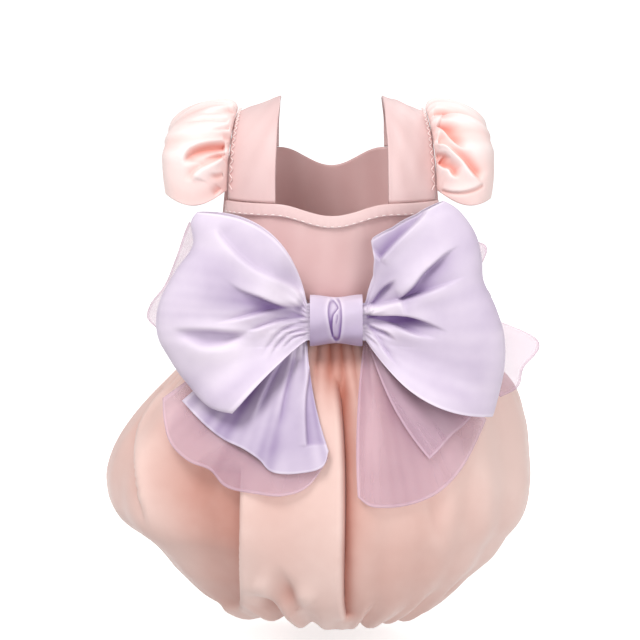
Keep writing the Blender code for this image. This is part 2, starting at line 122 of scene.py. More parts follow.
# Gathers, clearances and layers of the sleeves and the bow
SLEEVE_PLEATS = 7
SLEEVE_START = 0.02
SLEEVE_END = 0.86
SLEEVE_HANG_SPAN = 0.040
BOW_CLEARANCE = 0.0018
TIGHT_LAYER = 0.0018
ROOT_LAYER = 0.0032
ROOT_HELD = 0.25
FLOAT_DEPTH = 0.060
HEM_WIDTH = 0.0024
LOOP_ROOT_HEIGHT = 0.022
TAIL_TILT = 0.6
LOOP_GATHERS = 9
LOOP_ROWS = 14
LOOP_FRONT_ROWS = 0.66
TAIL_GATHERS = 7
TAIL_ROWS = 8
BAND_PUCKERS = 34

# Thickness of the cloth of the lighter pieces, and of the knot's folded cloth
THIN_CLOTH = 0.0008
KNOT_CLOTH = 0.0012

# How far the strips sewn onto the bodice stand off it
PLACKET_STAND_OFF = 0.0019
PLACKET_EDGE_DROP = 0.0005
BAND_STAND_OFF = 0.0011
BAND_FULLNESS = 0.0006

# Heights of the wrinkles and gathers that are too small for a crease of their own
BODICE_WRINKLE = 0.0003
WAIST_GATHER = 0.0004
BAND_PUCKER = 0.0001
STRAP_WRINKLE = 0.00035
STRAP_EDGE_DROP = 0.0002
SLEEVE_GATHER = 0.0018
SLEEVE_SMALL_GATHER = 0.0008
SLEEVE_FRILL = 0.0006
SKIRT_GATHER = 0.0011
SKIRT_PUCKER = 0.0007
SKIRT_BILLOW = 0.0009
BOW_GATHER = 0.0004
LOOP_FLOW = 0.00035
TAIL_FLOW = 0.0006
KNOT_WRINKLE = 0.00025
LOOP_CLOTH_ROOM = 0.0012
LOOP_LEAST_ROOM = 0.0005

# How deep the cloth's colour is: 0 in one layer and full light, and 1 in a deep fold
BODICE_SHADE = 0.36
WAIST_SHADE = 0.16
PLACKET_SHADE = 0.35
BAND_SHADE = 0.12
STRAP_SHADE = 0.08
SLEEVE_SHADE = 0.17
SKIRT_SHADE = 0.20
SKIRT_FOLD_SHADE = 2.2
LOOP_SHADE = 0.22
LOOP_BACK_SHADE = 0.12
TAIL_SHADE = 0.30
KNOT_SHADE = 0.48
KNOT_UNDERSIDE_SHADE = 0.24

# Painted shade in creases: a crease this deep takes the colour from its lightest to its deepest
SLEEVE_DEEP_CREASE = 0.0065
SLEEVE_DEEP_GATHER = 0.006
SKIRT_DEEP_CREASE = 0.014
LOOP_DEEP_CREASE = 0.012
TAIL_DEEP_CREASE = 0.010
KNOT_DEEP_CREASE = 0.0014

# Threads of the cloth and of the stitches: real ones of the cloth are 0.1 mm apart, and
# are drawn wider apart so that they show
THREAD_PITCH = 0.00045
THREAD_RELIEF = 0.0001
THREAD_TWIST = 0.0004
CLOUD_SIZE = 0.025
SHEER_ALPHA = 0.34
HEM_COVER = 1.5

# Stitches: their number, thickness and stand off, and their places across band and strap
TOPSTITCHES = 33
TOPSTITCH_SHARE = 0.28
TOPSTITCH_RADIUS = 0.00035
TOPSTITCH_STAND_OFF = 0.0022
TOPSTITCH_DOWN = 0.86
OVERLOCK_STITCHES = 60
OVERLOCK_RADIUS = 0.00034
OVERLOCK_STAND_OFF = 0.0014
OVERLOCK_EDGES = (0.90, 0.975)
STITCHED_SHARES = (0.02, 0.98)

# Cut sizes of the cloth before it is sewn, width by length
BACK_FLAT = (0.205, 0.082)
CHEST_FLAT = (0.205, 0.105)
PLACKET_FLAT = (0.018, 0.100)
BAND_FLAT = (0.145, 0.010)
STRAP_FLAT = (0.029, 0.190)
SLEEVE_FLAT = (0.055, 0.220)
SKIRT_FLAT = (0.640, 0.240)
KNOT_FLAT = (0.090, 0.032)
LOOP_FLAT = (0.095, 0.215)
TAIL_LEFT_FLAT = (0.064, 0.098)
TAIL_LEFT_UNDER_FLAT = (0.080, 0.105)
TAIL_RIGHT_FLAT = (0.070, 0.105)
LOOP_RIGHT_UNDER_FLAT = (0.038, 0.098)
BACK_LEFT_FLAT = (0.045, 0.105)
BACK_RIGHT_FLAT = (0.055, 0.120)

# Blender's wave texture repeats every pi / 10 of its scaled length
WAVE_UNIT = math.pi / 10

# Stage
LIGHTS = (
    Light("key_light", (-0.6, -1.1, 1.3), 0.8, 20.0),
    Light("fill_light", (0.7, -1.4, -0.1), 1.2, 10.0),
    Light("back_light", (0.5, 1.3, 1.0), 1.0, 6.0),
)
WORLD_STRENGTH = 0.58
FLOOR_HEIGHT = -0.340
FLOOR_HALF_SIZE = 40.0
FLOOR_GLOW = 0.66
WHITE = (1.0, 1.0, 1.0, 1.0)
PAPER = (0.9, 0.9, 0.9, 1.0)
SENSOR_WIDTH = 36.0


def linear(value):
    """A linear RGBA colour from an sRGB hex value."""
    parts = ((value >> 16 & 255) / 255, (value >> 8 & 255) / 255, (value & 255) / 255)
    straight = [c / 12.92 if c <= 0.04045 else ((c + 0.055) / 1.055) ** 2.4 for c in parts]
    return (*straight, 1.0)


def length(name, description, default):
    """A length in metres that the sidebar shows."""
    return FloatProperty(name=name, description=description, default=default, unit="LENGTH")


def share(name, description, default):
    """A plain number that the sidebar shows, mostly a share of another size."""
    return FloatProperty(name=name, description=description, default=default, subtype="FACTOR")


def colour(name, description, value):
    """A colour that the sidebar shows, from its sRGB hex value."""
    return FloatVectorProperty(
        name=name, description=description, default=linear(value), subtype="COLOR", size=4
    )


class DressSizes(bpy.types.PropertyGroup):
    """The sizes of the body of the dress, its straps, sleeves and skirt."""

    chest_half_width: length("Chest half width", "Half the bodice's width", 0.069)
    chest_half_depth: length("Chest half depth", "Half the bodice's depth", 0.066)
    waist_half_width: length("Waist half width", "Half the waist's width", 0.062)
    waist_half_depth: length("Waist half depth", "Half the waist's depth", 0.061)
    squareness: share("Squareness", "Exponent of the bodice's rounded square", 2.6)
    cloth: length("Cloth", "Thickness of the lined bodice cloth", 0.0012)
    neckline_drop: length("Neckline drop", "From the shoulders to the neckline", 0.061)
    neckline_dip: length("Neckline dip", "How far the neckline dips in its middle", 0.0068)
    chest_top_drop: length("Chest top drop", "From the shoulders to the chest panel", 0.036)
    chest_dip: length("Chest dip", "How far the chest panel's edge dips", 0.012)
    underarm_drop: length("Underarm drop", "From the shoulders to the armhole", 0.095)
    armhole_corner: share("Armhole corner", "Share of the side that the armhole curves", 0.75)
    waist_drop: length("Waist drop", "From the shoulders to the waist seam", 0.143)
    neck_half_gap: length("Neck half gap", "Half the gap between the straps", 0.034)
    strap_width: length("Strap width", "Width of a strap", 0.029)
    strap_taper: share("Strap taper", "A strap's share of its place at the shoulder", 0.92)
    shoulder_slope: length("Shoulder slope", "Fall of a strap from neck to arm", 0.010)
    band_height: length("Band height", "Height of the neckline's folded band", 0.0075)
    placket_width: length("Placket width", "Width of the belly placket", 0.018)
    sleeve_reach: length("Sleeve reach", "How far a sleeve stands out", 0.041)
    sleeve_puff: length("Sleeve puff", "Half the height of a sleeve's puff", 0.017)
    sleeve_top: length("Sleeve top", "How far its puff rises over the shoulder", 0.011)
    sleeve_sag: length("Sleeve sag", "How far a sleeve's ends hang down", 0.009)
    sleeve_droop: length("Sleeve droop", "How far a sleeve's outer side falls", 0.013)
    sleeve_right: share("Right sleeve", "The right sleeve's reach as a share", 0.89)
    skirt_length: length("Skirt length", "From the waist seam to the hem", 0.182)
    skirt_left: length("Skirt left", "The skirt's fullest reach to the left", 0.140)
    skirt_right: length("Skirt right", "The skirt's fullest reach to the right", 0.123)
    skirt_back: length("Skirt back", "The skirt's fullest reach at the back", 0.100)
    skirt_front: length("Skirt front", "The skirt's fullest reach at the belly", 0.080)
    hem_half_width: length("Hem half width", "Half the hem's width", 0.052)
    hem_half_depth: length("Hem half depth", "Half the hem's depth", 0.048)
    hem_scallop: length("Hem scallop", "How far the hem lifts at a fold", 0.006)


class BowSizes(bpy.types.PropertyGroup):
    """The sizes of the bow."""

    knot_offset: length("Knot offset", "The knot's place right of the middle", 0.0024)
    knot_drop: length("Knot drop", "From the shoulders to the knot", 0.129)
    knot_width: length("Knot width", "Width of the knot", 0.0312)
    knot_height: length("Knot height", "Height of the knot", 0.029)
    knot_depth: length("Knot depth", "Depth of the knot", 0.025)
    knot_flare: share("Knot flare", "How much wider the knot is at its ends", 0.06)
    root_height: length("Root height", "Height of the gathered cloth in the knot", 0.016)
    root_clearance: length("Root clearance", "Room between the knot and its loops", 0.002)
    loop_reach: length("Loop reach", "From the knot to a loop's far edge", 0.1068)
    loop_puff: length("Loop puff", "Half a loop's fullness", 0.012)
    tail_reach: length("Tail reach", "From the knot to a tail's end", 0.123)
    back_reach: length("Back reach", "From the knot to the sheer layer's edge", 0.113)
    layer: length("Layer", "Room that one layer of the bow takes", 0.0032)
    cloth: length("Bow cloth", "Thickness of the bow's cloth", 0.0005)


class DressColours(bpy.types.PropertyGroup):
    """The colours of the cloths."""

    # Each deep colour is the cloth's colour in painted shade, which the fold attribute mixes in
    bodice: colour("Bodice", "Pink organza over satin", 0xEACBC9)
    bodice_deep: colour("Bodice shade", "The same in its folds", 0xC48E8C)
    skirt: colour("Skirt", "Pale peach pink organza", 0xF0D0C7)
    skirt_deep: colour("Skirt shade", "The same in its folds", 0xBE7B6A)
    sleeve: colour("Sleeve", "The palest pink organza, in one layer", 0xFAEAE7)
    sleeve_deep: colour("Sleeve shade", "The same in its folds", 0xE59B8E)
    bow: colour("Bow", "Lilac satin organza", 0xEFE2F0)
    bow_deep: colour("Bow shade", "The same in its folds", 0x7A5C94)
    sheer: colour("Sheer", "Sheer lilac organza", 0xE8C8D8)
    sheer_deep: colour("Sheer shade", "The same in its folds", 0xA87A9A)
    thread: colour("Thread", "Pale sewing thread", 0xF8E9E6)


# The skirt from its waist to its hem and up inside: shares of its length and of its growth
SKIRT_SECTIONS = (
    Section(0.000, 0.000, 0.00, 0.00, 0.00),
    Section(0.060, 0.060, 0.20, 0.30, 0.22),
    Section(0.170, 0.170, 0.47, 0.76, 0.58),
    Section(0.300, 0.300, 0.76, 0.94, 0.82),
    Section(0.430, 0.430, 0.95, 0.99, 0.95),
    Section(0.535, 0.535, 1.00, 1.00, 1.00),
    Section(0.665, 0.665, 0.87, 0.90, 0.95),
    Section(0.700, 0.700, 0.76, 0.82, 0.92),
    Section(0.737, 0.737, 0.67, 0.76, 0.88),
    Section(0.775, 0.775, 0.60, 0.69, 0.83),
    Section(0.813, 0.813, 0.54, 0.58, 0.77),
    Section(0.850, 0.850, 0.47, 0.47, 0.70),
    Section(0.890, 0.888, 0.40, 0.38, 0.60),
    Section(0.927, 0.922, 0.33, 0.29, 0.47),
    Section(0.965, 0.955, 0.23, 0.19, 0.29),
    Section(1.000, 0.986, 0.07, 0.05, 0.05),
    Section(1.025, 0.974, -0.09, -0.09, -0.09),
    Section(1.075, 0.930, -0.10, -0.10, -0.10),
)
SKIRT_FULLEST = 0.535
SKIRT_SQUARENESS = 2.2
SKIRT_PATH_END = 1.075

# The skirt's wide folds: depth as a share of its radius, and lift of the hem's scallop
SKIRT_FOLDS = (
    Fold(-72, 9, 0.020, 0.5),
    Fold(-48, 16, 0.060, 0.7),
    Fold(-31, 11, 0.012, 2.2),
    Fold(-13, 9, 0.004, 0.8),
    Fold(19, 6, 0.012, 1.0),
    Fold(34, 7, 0.012, 0.5),
    Fold(46, 9, 0.025, 1.0),
    Fold(65, 11, 0.035, 0.9),
)
BELLY_FOLD_ANGLES = range(104, 257, 19)
BELLY_FOLD = Fold(0, 9, 0.05, 0.7)

# The bow's sheets as rays from the knot: a share of the way across the sheet, the ray's
# angle above the horizontal, its reach as a share, and how far it bends
LOOP_LEFT_RAYS = (
    Ray(0.00, 38.4, 0.98, 0.43),
    Ray(0.07, 34.6, 0.972, 0.35),
    Ray(0.14, 29.5, 0.905, 0.28),
    Ray(0.28, 17.0, 0.935, 0.14),
    Ray(0.42, 7.9, 0.978, 0.07),
    Ray(0.56, 1.0, 0.995, 0.04),
    Ray(0.70, -6.2, 0.985, 0.02),
    Ray(0.79, -12.0, 0.95, 0.03),
    Ray(0.88, -22.0, 0.900, 0.04),
    Ray(0.96, -34.5, 0.835, 0.05),
    Ray(1.00, -40.5, 0.755, 0.07),
)
LOOP_RIGHT_RAYS = (
    Ray(0.00, 48.5, 0.895, 0.41),
    Ray(0.11, 42.5, 0.915, 0.30),
    Ray(0.22, 32.8, 0.91, 0.20),
    Ray(0.33, 23.6, 0.875, 0.10),
    Ray(0.43, 15.7, 0.845, 0.03),
    Ray(0.53, 5.4, 0.885, 0.00),
    Ray(0.64, -4.1, 0.93, -0.05),
    Ray(0.76, -14.8, 0.965, -0.12),
    Ray(0.88, -23.8, 0.99, -0.18),
    Ray(1.00, -31.3, 1.02, -0.24),
)
LOOP_RIGHT_UNDER_RAYS = (
    Ray(0.00, -29.0, 0.915, 0.00),
    Ray(0.30, -36.0, 0.930, 0.00),
    Ray(0.60, -44.5, 0.900, 0.00),
    Ray(0.85, -51.5, 0.905, -0.06),
    Ray(1.00, -55.5, 0.910, -0.12),
)
# How far the right loop's free top edge is pushed, in millimetres, along its way: its
# corner stands out like a small flap
LOOP_RIGHT_PUSHES = (
    Mark(0.00, 0.0, 0.0),
    Mark(0.20, 3.0, -1.8),
    Mark(0.32, 1.0, -0.6),
    Mark(0.42, -4.4, 3.6),
    Mark(0.60, 0.0, -0.5),
    Mark(0.80, 0.6, -2.4),
    Mark(1.00, 0.0, 0.0),
)
PUSHED_SHARE = 0.13
TAIL_LEFT_RAYS = (
    Ray(0.00, -28.2, 0.852, 0.00),
    Ray(0.18, -37.2, 0.815, 0.00),
    Ray(0.36, -45.8, 0.783, 0.00),
    Ray(0.50, -53.5, 0.746, 0.00),
    Ray(0.62, -60.5, 0.745, 0.00),
    Ray(0.71, -66.2, 0.766, 0.00),
    Ray(0.81, -76.2, 0.725, 0.00),
    Ray(0.91, -84.5, 0.675, 0.04),
    Ray(1.00, -86.5, 0.600, 0.08),
)
TAIL_LEFT_UNDER_RAYS = (
    Ray(0.00, -25.0, 0.934, 0.00),
    Ray(0.13, -31.5, 0.985, 0.00),
    Ray(0.26, -37.0, 1.010, 0.00),
    Ray(0.40, -43.8, 0.985, 0.00),
    Ray(0.52, -49.5, 0.938, 0.00),
    Ray(0.64, -56.0, 0.950, 0.00),
    Ray(0.76, -64.5, 0.900, 0.00),
    Ray(0.86, -73.5, 0.850, 0.00),
    Ray(0.94, -80.5, 0.775, 0.00),
    Ray(1.00, -86.5, 0.640, 0.10),
)
TAIL_RIGHT_RAYS = (
    Ray(0.00, -34.0, 0.883, 0.00),
    Ray(0.16, -42.0, 0.908, 0.00),
    Ray(0.30, -50.5, 0.940, 0.00),
    Ray(0.45, -58.9, 0.955, 0.00),
    Ray(0.60, -67.4, 0.939, 0.00),
    Ray(0.78, -75.2, 0.906, 0.00),
    Ray(0.90, -79.8, 0.877, 0.00),
    Ray(1.00, -82.9, 0.829, -0.06),
)
BACK_LEFT_RAYS = (
    Ray(0.00, 33.3, 0.928, 0.05),
    Ray(0.28, 20.2, 0.905, 0.03),
    Ray(0.50, 10.2, 0.928, 0.00),
    Ray(0.66, 3.7, 0.990, 0.00),
    Ray(0.78, -0.5, 1.000, 0.00),
    Ray(0.88, -4.2, 0.945, 0.00),
    Ray(1.00, -10.5, 0.880, 0.00),
)
BACK_RIGHT_RAYS = (
    Ray(0.00, 31.0, 0.800, 0.05),
    Ray(0.14, 25.3, 0.880, 0.03),
    Ray(0.30, 16.5, 0.785, 0.00),
    Ray(0.44, 7.8, 0.830, 0.00),
    Ray(0.56, 0.0, 0.830, 0.00),
    Ray(0.68, -6.6, 1.080, 0.00),
    Ray(0.82, -15.5, 1.035, 0.00),
    Ray(0.93, -21.7, 1.035, 0.00),
    Ray(1.00, -26.0, 0.975, 0.00),
)

# Creases, in millimetres of the front view: right of the spine, and above the shoulders.
# Left and right are the sides as one walks along the points; + stands up and - sinks.
LOOP_LEFT_CREASES = (
    Crease(((-70.2, -81.0), (-64.2, -91.2), (-48.0, -106.2), (-25.2, -117.0),
            (-14.4, -123.0)), -1.8, 1.6, 10.0, 6.0, 1.2, 0.20, 0.10),
    Crease(((-15.6, -129.6), (-26.4, -130.8), (-37.2, -127.2), (-44.4, -124.2),
            (-55.2, -120.0), (-66.0, -111.6)), -7.5, 2.5, 9.0, 11.0, 0.9, 0.10, 0.60),
    Crease(((-15.6, -130.8), (-28.2, -131.4), (-38.4, -133.2), (-49.2, -135.6),
            (-61.2, -138.6), (-73.2, -140.4)), 2.2, -3.0, 4.0, 3.0, 0.6, 0.05, 0.50),
    Crease(((-15.6, -136.8), (-28.2, -138.0), (-38.4, -141.0), (-50.4, -145.2)),
           1.8, -2.4, 3.5, 1.8, 0.5, 0.05, 0.20),
    Crease(((-49.2, -145.2), (-57.6, -145.8), (-72.0, -144.6), (-87.6, -144.0),
            (-98.4, -142.8)), -4.4, 1.5, 8.0, 6.0, 1.5, 0.34, 0.55),
    Crease(((-49.2, -145.8), (-57.6, -149.4), (-66.0, -152.4), (-75.6, -153.0),
            (-85.2, -150.0), (-97.2, -147.6)), 3.5, -2.0, 10.0, 4.0, 2.4, 0.28, 0.30),
    Crease(((-15.6, -139.2), (-25.2, -141.0), (-33.6, -145.8), (-39.6, -154.2),
            (-44.4, -162.0)), -2.0, 0.8, 2.0, 2.6, 0.5, 0.05, 0.60),
    Crease(((-15.6, -142.8), (-24.0, -144.6), (-30.6, -148.8), (-35.4, -156.0),
            (-39.6, -164.4)), -2.0, 0.8, 1.8, 2.2, 0.4, 0.05, 0.50),
    Crease(((-15.6, -146.4), (-22.2, -147.6), (-27.6, -151.8), (-31.2, -157.8)),
           -1.8, 0.8, 1.5, 1.8, 0.4, 0.05, 0.50),
)
LOOP_RIGHT_CREASES = (
    Crease(((28.8, -102.0), (37.8, -91.8), (49.2, -81.0), (58.8, -70.8)),
           -4.0, 1.6, 12.0, 5.0, 0.5, 0.05, 0.15),
    Crease(((22.8, -129.0), (25.8, -124.8), (28.8, -120.6), (33.6, -116.4), (39.0, -114.0)),
           1.5, -5.0, 4.0, 3.6, 0.6, 0.10, 0.35),
    Crease(((39.6, -125.4), (43.2, -123.6), (49.2, -117.6), (55.2, -109.8),
            (62.4, -103.2), (69.6, -97.2), (78.0, -92.4)), 2.0, -4.5, 6.0, 7.0,
           0.6, 0.10, 0.45),
    Crease(((18.0, -129.6), (25.2, -129.6), (40.8, -126.6), (52.8, -123.0),
            (67.2, -117.6), (84.0, -110.4)), -3.2, 2.5, 5.0, 7.0, 0.7, 0.05, 0.40),
    Crease(((19.2, -134.4), (26.4, -135.6), (38.4, -135.6), (48.0, -136.8),
            (58.8, -140.4), (70.8, -145.8)), 2.5, -9.0, 8.0, 6.0, 0.5, 0.10, 0.50),
    Crease(((19.2, -136.2), (28.8, -138.0), (38.4, -141.6), (49.8, -146.4),
            (64.8, -150.0)), -3.0, 2.5, 3.0, 6.0, 0.6, 0.08, 0.40),
    Crease(((20.4, -139.2), (25.8, -142.8), (32.4, -145.2), (38.4, -150.6)),
           1.5, -4.5, 3.0, 2.6, 0.5, 0.15, 0.35),
    Crease(((19.2, -139.2), (25.2, -146.4), (31.2, -156.0), (38.4, -165.6)),
           -1.8, 1.8, 2.0, 3.0, 0.5, 0.05, 0.30),
)
TAIL_LEFT_CREASES = (
    Crease(((-13.2, -150.0), (-13.2, -165.0), (-15.6, -183.6), (-15.8, -200.0),
            (-15.0, -214.0)), -2.6, 1.2, 16.0, 4.0, 0.4, 0.10, 0.03),
    Crease(((-27.0, -156.0), (-38.0, -176.0), (-48.0, -200.0)), -2.0, 1.4, 8.0, 7.0,
           1.0, 0.10, 0.30),
    Crease(((-22.0, -158.0), (-28.0, -180.0), (-33.0, -206.0)), -1.4, 1.0, 6.0, 5.0,
           1.0, 0.10, 0.30),
)
SKIRT_CREASES = (
    Crease(((-97.0, -176.0), (-108.0, -190.0), (-114.6, -202.0), (-115.8, -216.0),
            (-115.2, -232.8), (-113.0, -249.0), (-108.6, -266.4)), 2.4, -2.4, 6.0, 5.0,
           0.6, 0.10, 0.25),
    Crease(((-92.0, -186.0), (-88.0, -215.0), (-80.0, -250.0), (-68.0, -290.0)),
           -2.2, -2.2, 20.0, 18.0, 5.0, 0.20, 0.30),
    Crease(((-17.0, -310.0), (-24.0, -299.0), (-31.0, -282.0)), -3.0, 1.8, 9.0, 8.0,
           2.4, 0.05, 0.60),
    Crease(((-43.0, -310.0), (-38.0, -299.0), (-33.0, -282.0)), 1.2, -2.4, 8.0, 9.0,
           2.8, 0.05, 0.60),
    Crease(((-53.4, -222.0), (-54.6, -246.0), (-55.2, -270.0), (-55.2, -294.0),
            (-54.0, -313.2)), 3.0, -7.0, 9.0, 24.0, 1.5, 0.10, 0.10),
    Crease(((0.6, -169.2), (3.6, -186.0), (5.4, -204.0), (6.6, -228.0), (6.6, -258.0),
            (6.0, -282.0), (6.0, -306.0), (7.8, -318.0)), -9.0, 3.0, 7.0, 8.4,
           1.2, 0.15, 0.05),
    Crease(((55.8, -234.0), (60.0, -258.0), (67.8, -282.0)), -1.2, 1.0, 7.0, 7.0,
           3.0, 0.30, 0.30),
)
SLEEVE_LEFT_CREASES = (
    Crease(((-58.3, -12.6), (-66.0, -12.8), (-75.0, -13.8), (-84.0, -14.6)),
           -0.6, 3.0, 2.0, 3.0, 0.6, 0.05, 0.60),
    Crease(((-61.5, -17.6), (-77.0, -16.8), (-93.0, -20.0)), -1.8, 1.0, 1.6, 2.5,
           0.6, 0.05, 0.50),
    Crease(((-61.8, -21.8), (-67.4, -22.4), (-75.0, -23.3)), -2.6, 0.8, 2.0, 2.5,
           0.6, 0.05, 0.50),
    Crease(((-63.7, -31.3), (-74.4, -32.1), (-81.4, -34.0), (-86.0, -36.6),
            (-88.6, -40.8), (-89.4, -46.0)), -5.5, 1.8, 8.0, 6.0, 0.9, 0.04, 0.35),
    Crease(((-64.0, -37.4), (-71.7, -38.7), (-79.0, -42.0)), -2.5, 0.8, 2.2, 2.0,
           0.8, 0.05, 0.60),
    Crease(((-65.3, -39.9), (-71.7, -43.4), (-79.2, -47.2), (-83.5, -51.1),
            (-84.4, -56.0)), 2.6, -2.6, 6.0, 3.5, 1.3, 0.04, 0.30),
    Crease(((-65.6, -49.6), (-69.6, -50.6), (-73.6, -50.0)), -2.4, 0.8, 2.6, 2.0,
           0.8, 0.05, 0.50),
    Crease(((-66.4, -59.2), (-69.0, -62.0), (-71.0, -63.8)), 0.8, -2.2, 3.0, 3.0,
           0.8, 0.05, 0.50),
)
SLEEVE_RIGHT_CREASES = (
    Crease(((61.0, -12.0), (68.0, -12.6), (78.0, -13.6)), 1.0, -2.5, 3.0, 2.5,
           0.8, 0.05, 0.60),
    Crease(((62.6, -21.6), (66.6, -23.4), (71.1, -27.8), (76.6, -32.8), (83.4, -36.6)),
           -4.5, 1.6, 7.0, 3.0, 0.7, 0.04, 0.45),
    Crease(((63.1, -31.8), (68.6, -32.8), (73.6, -37.2), (78.6, -41.8), (83.4, -48.2),
            (89.5, -55.2)), -5.0, 2.5, 5.0, 4.0, 0.7, 0.04, 0.15),
    Crease(((62.6, -37.8), (67.6, -38.3), (72.6, -41.8)), 0.8, -3.5, 2.5, 4.5,
           0.7, 0.05, 0.45),
    Crease(((63.1, -43.8), (66.6, -46.2), (70.1, -47.3), (72.6, -50.8), (76.6, -53.2)),
           -4.5, 2.4, 5.5, 5.0, 0.8, 0.04, 0.30),
    Crease(((65.6, -59.7), (71.4, -61.2), (78.6, -61.2), (85.8, -59.2), (90.6, -56.2)),
           1.0, -2.0, 4.0, 1.6, 0.6, 0.05, 0.05),
)
KNOT_CREASES = (
    Crease(((-0.1, -124.8), (-1.9, -127.8), (-2.5, -133.4), (-1.9, -138.8),
            (-0.8, -144.3), (0.8, -149.0), (2.4, -150.9)), -0.7, 0.3, 1.6, 1.6,
           0.25, 0.10, 0.03),
    Crease(((-0.1, -124.8), (2.4, -127.2), (3.9, -130.4), (2.8, -132.6), (1.0, -135.2),
            (0.4, -138.8), (0.2, -144.3), (1.0, -149.0)), 0.4, -0.8, 1.2, 1.0,
           0.22, 0.06, 0.05),
    Crease(((3.5, -123.9), (5.3, -127.9), (6.0, -135.2), (5.7, -142.4), (4.6, -149.0),
            (2.4, -150.9)), 0.3, -0.7, 1.6, 1.4, 0.25, 0.06, 0.03),
    Crease(((3.5, -134.1), (3.5, -137.4), (2.4, -141.6)), 0.2, -0.5, 0.8, 0.8,
           0.2, 0.2, 0.3),
)
SKIRT_DIMPLES = (
    Dimple(-26.0, -302.0, 8.0, 4.5),
    Dimple(-39.0, -300.0, 7.0, -2.0),
    Dimple(-18.0, -305.0, 7.0, -2.0),
)

# Patches of painted shade, and of painted highlight where the amount is below 0, on the bow's
# cloths and the skirt
LOOP_LEFT_TINTS = (
    Tint(-68.0, -112.0, 26.0, 15.0, -25.0, 0.22),
    Tint(-58.0, -127.0, 20.0, 6.0, -8.0, 0.18),
    Tint(-58.0, -96.0, 30.0, 9.0, -35.0, -0.06),
    Tint(-62.0, -158.0, 34.0, 9.0, 25.0, -0.08),
    Tint(-86.0, -178.0, 14.0, 7.0, -40.0, 0.16),
    Tint(-60.0, -180.0, 22.0, 5.0, 40.0, 0.14),
)
LOOP_RIGHT_TINTS = (
    Tint(45.0, -139.0, 24.0, 6.0, -8.0, 0.08),
    Tint(66.0, -120.0, 60.0, 40.0, 90.0, 0.10),
    Tint(34.0, -95.0, 13.0, 5.0, 48.0, 0.24),
    Tint(28.0, -120.0, 11.0, 4.0, 55.0, 0.22),
    Tint(60.0, -112.0, 20.0, 6.0, 48.0, 0.18),
    Tint(78.0, -98.0, 16.0, 7.0, 50.0, 0.08),
    Tint(66.0, -76.0, 14.0, 8.0, 20.0, -0.05),
    Tint(90.0, -150.0, 40.0, 9.0, 80.0, 0.12),
    Tint(58.0, -160.0, 26.0, 9.0, -28.0, 0.06),
    Tint(74.0, -182.0, 22.0, 5.0, -25.0, 0.10),
)
TAIL_LEFT_TINTS = (
    Tint(-45.0, -196.0, 60.0, 45.0, 0.0, 0.22),
    Tint(-42.0, -172.0, 30.0, 6.0, 58.0, 0.40),
    Tint(-21.0, -164.0, 16.0, 3.0, 84.0, -0.20),
    Tint(-36.0, -216.0, 24.0, 8.0, 0.0, 0.10),
    Tint(-72.0, -196.0, 12.0, 8.0, -30.0, 0.15),
)
TAIL_LEFT_UNDER_TINTS = (
    Tint(-96.0, -196.0, 26.0, 12.0, 80.0, -0.30),
    Tint(-74.0, -212.0, 20.0, 6.0, 30.0, -0.45),
    Tint(-66.0, -224.0, 14.0, 3.0, 62.0, 0.25),
    Tint(-40.0, -232.0, 24.0, 8.0, 0.0, -0.10),
    Tint(-6.0, -196.0, 34.0, 8.0, 84.0, -0.20),
)
TAIL_RIGHT_TINTS = (
    Tint(24.0, -206.0, 34.0, 7.0, 80.0, -0.25),
    Tint(16.0, -190.0, 40.0, 4.0, 86.0, 0.20),
    Tint(48.0, -238.0, 26.0, 8.0, 10.0, -0.10),
    Tint(80.0, -206.0, 24.0, 10.0, 60.0, -0.25),
    Tint(36.0, -190.0, 30.0, 8.0, -60.0, 0.30),
)
LOOP_RIGHT_UNDER_TINTS = (
    Tint(45.0, -176.0, 30.0, 12.0, -50.0, -0.40),
    Tint(70.0, -196.0, 30.0, 12.0, -30.0, -0.30),
)
SKIRT_TINTS = (
    Tint(-78.0, -240.0, 48.0, 26.0, 85.0, 0.13),
    Tint(2.0, -165.0, 26.0, 17.0, 90.0, 0.75),
    Tint(18.0, -250.0, 60.0, 14.0, 88.0, 0.24),
    Tint(50.0, -300.0, 40.0, 16.0, 20.0, 0.10),
    Tint(-10.0, -290.0, 30.0, 10.0, 88.0, -0.10),
    Tint(104.0, -212.0, 40.0, 18.0, 80.0, -0.40),
    Tint(96.0, -280.0, 40.0, 10.0, 55.0, -0.14),
    Tint(-112.0, -300.0, 40.0, 10.0, -50.0, -0.16),
    Tint(-80.0, -282.0, 36.0, 16.0, -45.0, -0.18),
    Tint(50.0, -264.0, 40.0, 18.0, 80.0, 0.13),
)


def sizes():
    """The sizes of the dress, as the sidebar shows them."""
    return bpy.context.scene.dress_sizes


def bow_sizes():
    """The sizes of the bow."""
    return bpy.context.scene.bow_sizes


def colours():
    """The colours of the cloths."""
    return bpy.context.scene.dress_colours


def lerp(a, b, share):
    """The value a share of the way from a to b."""
    return a + (b - a) * share


def smooth(share):
    """A share from 0 to 1 that starts and ends gently."""
    share = np.clip(share, 0.0, 1.0)
    return share * share * (3 - 2 * share)


def dent(distance, half_span):
    """1 in the middle of a fold, falling smoothly to 0 at its half span."""
    return smooth(1 - np.abs(distance) / half_span)


def power(value, exponent):
    """A power that keeps the sign of its value."""
    return np.sign(value) * np.abs(value) ** exponent


def points_of(x, y, z):
    """Rows of points from their coordinates, of which some may be single numbers."""
    return np.stack(np.broadcast_arrays(x, y, z), axis=-1)


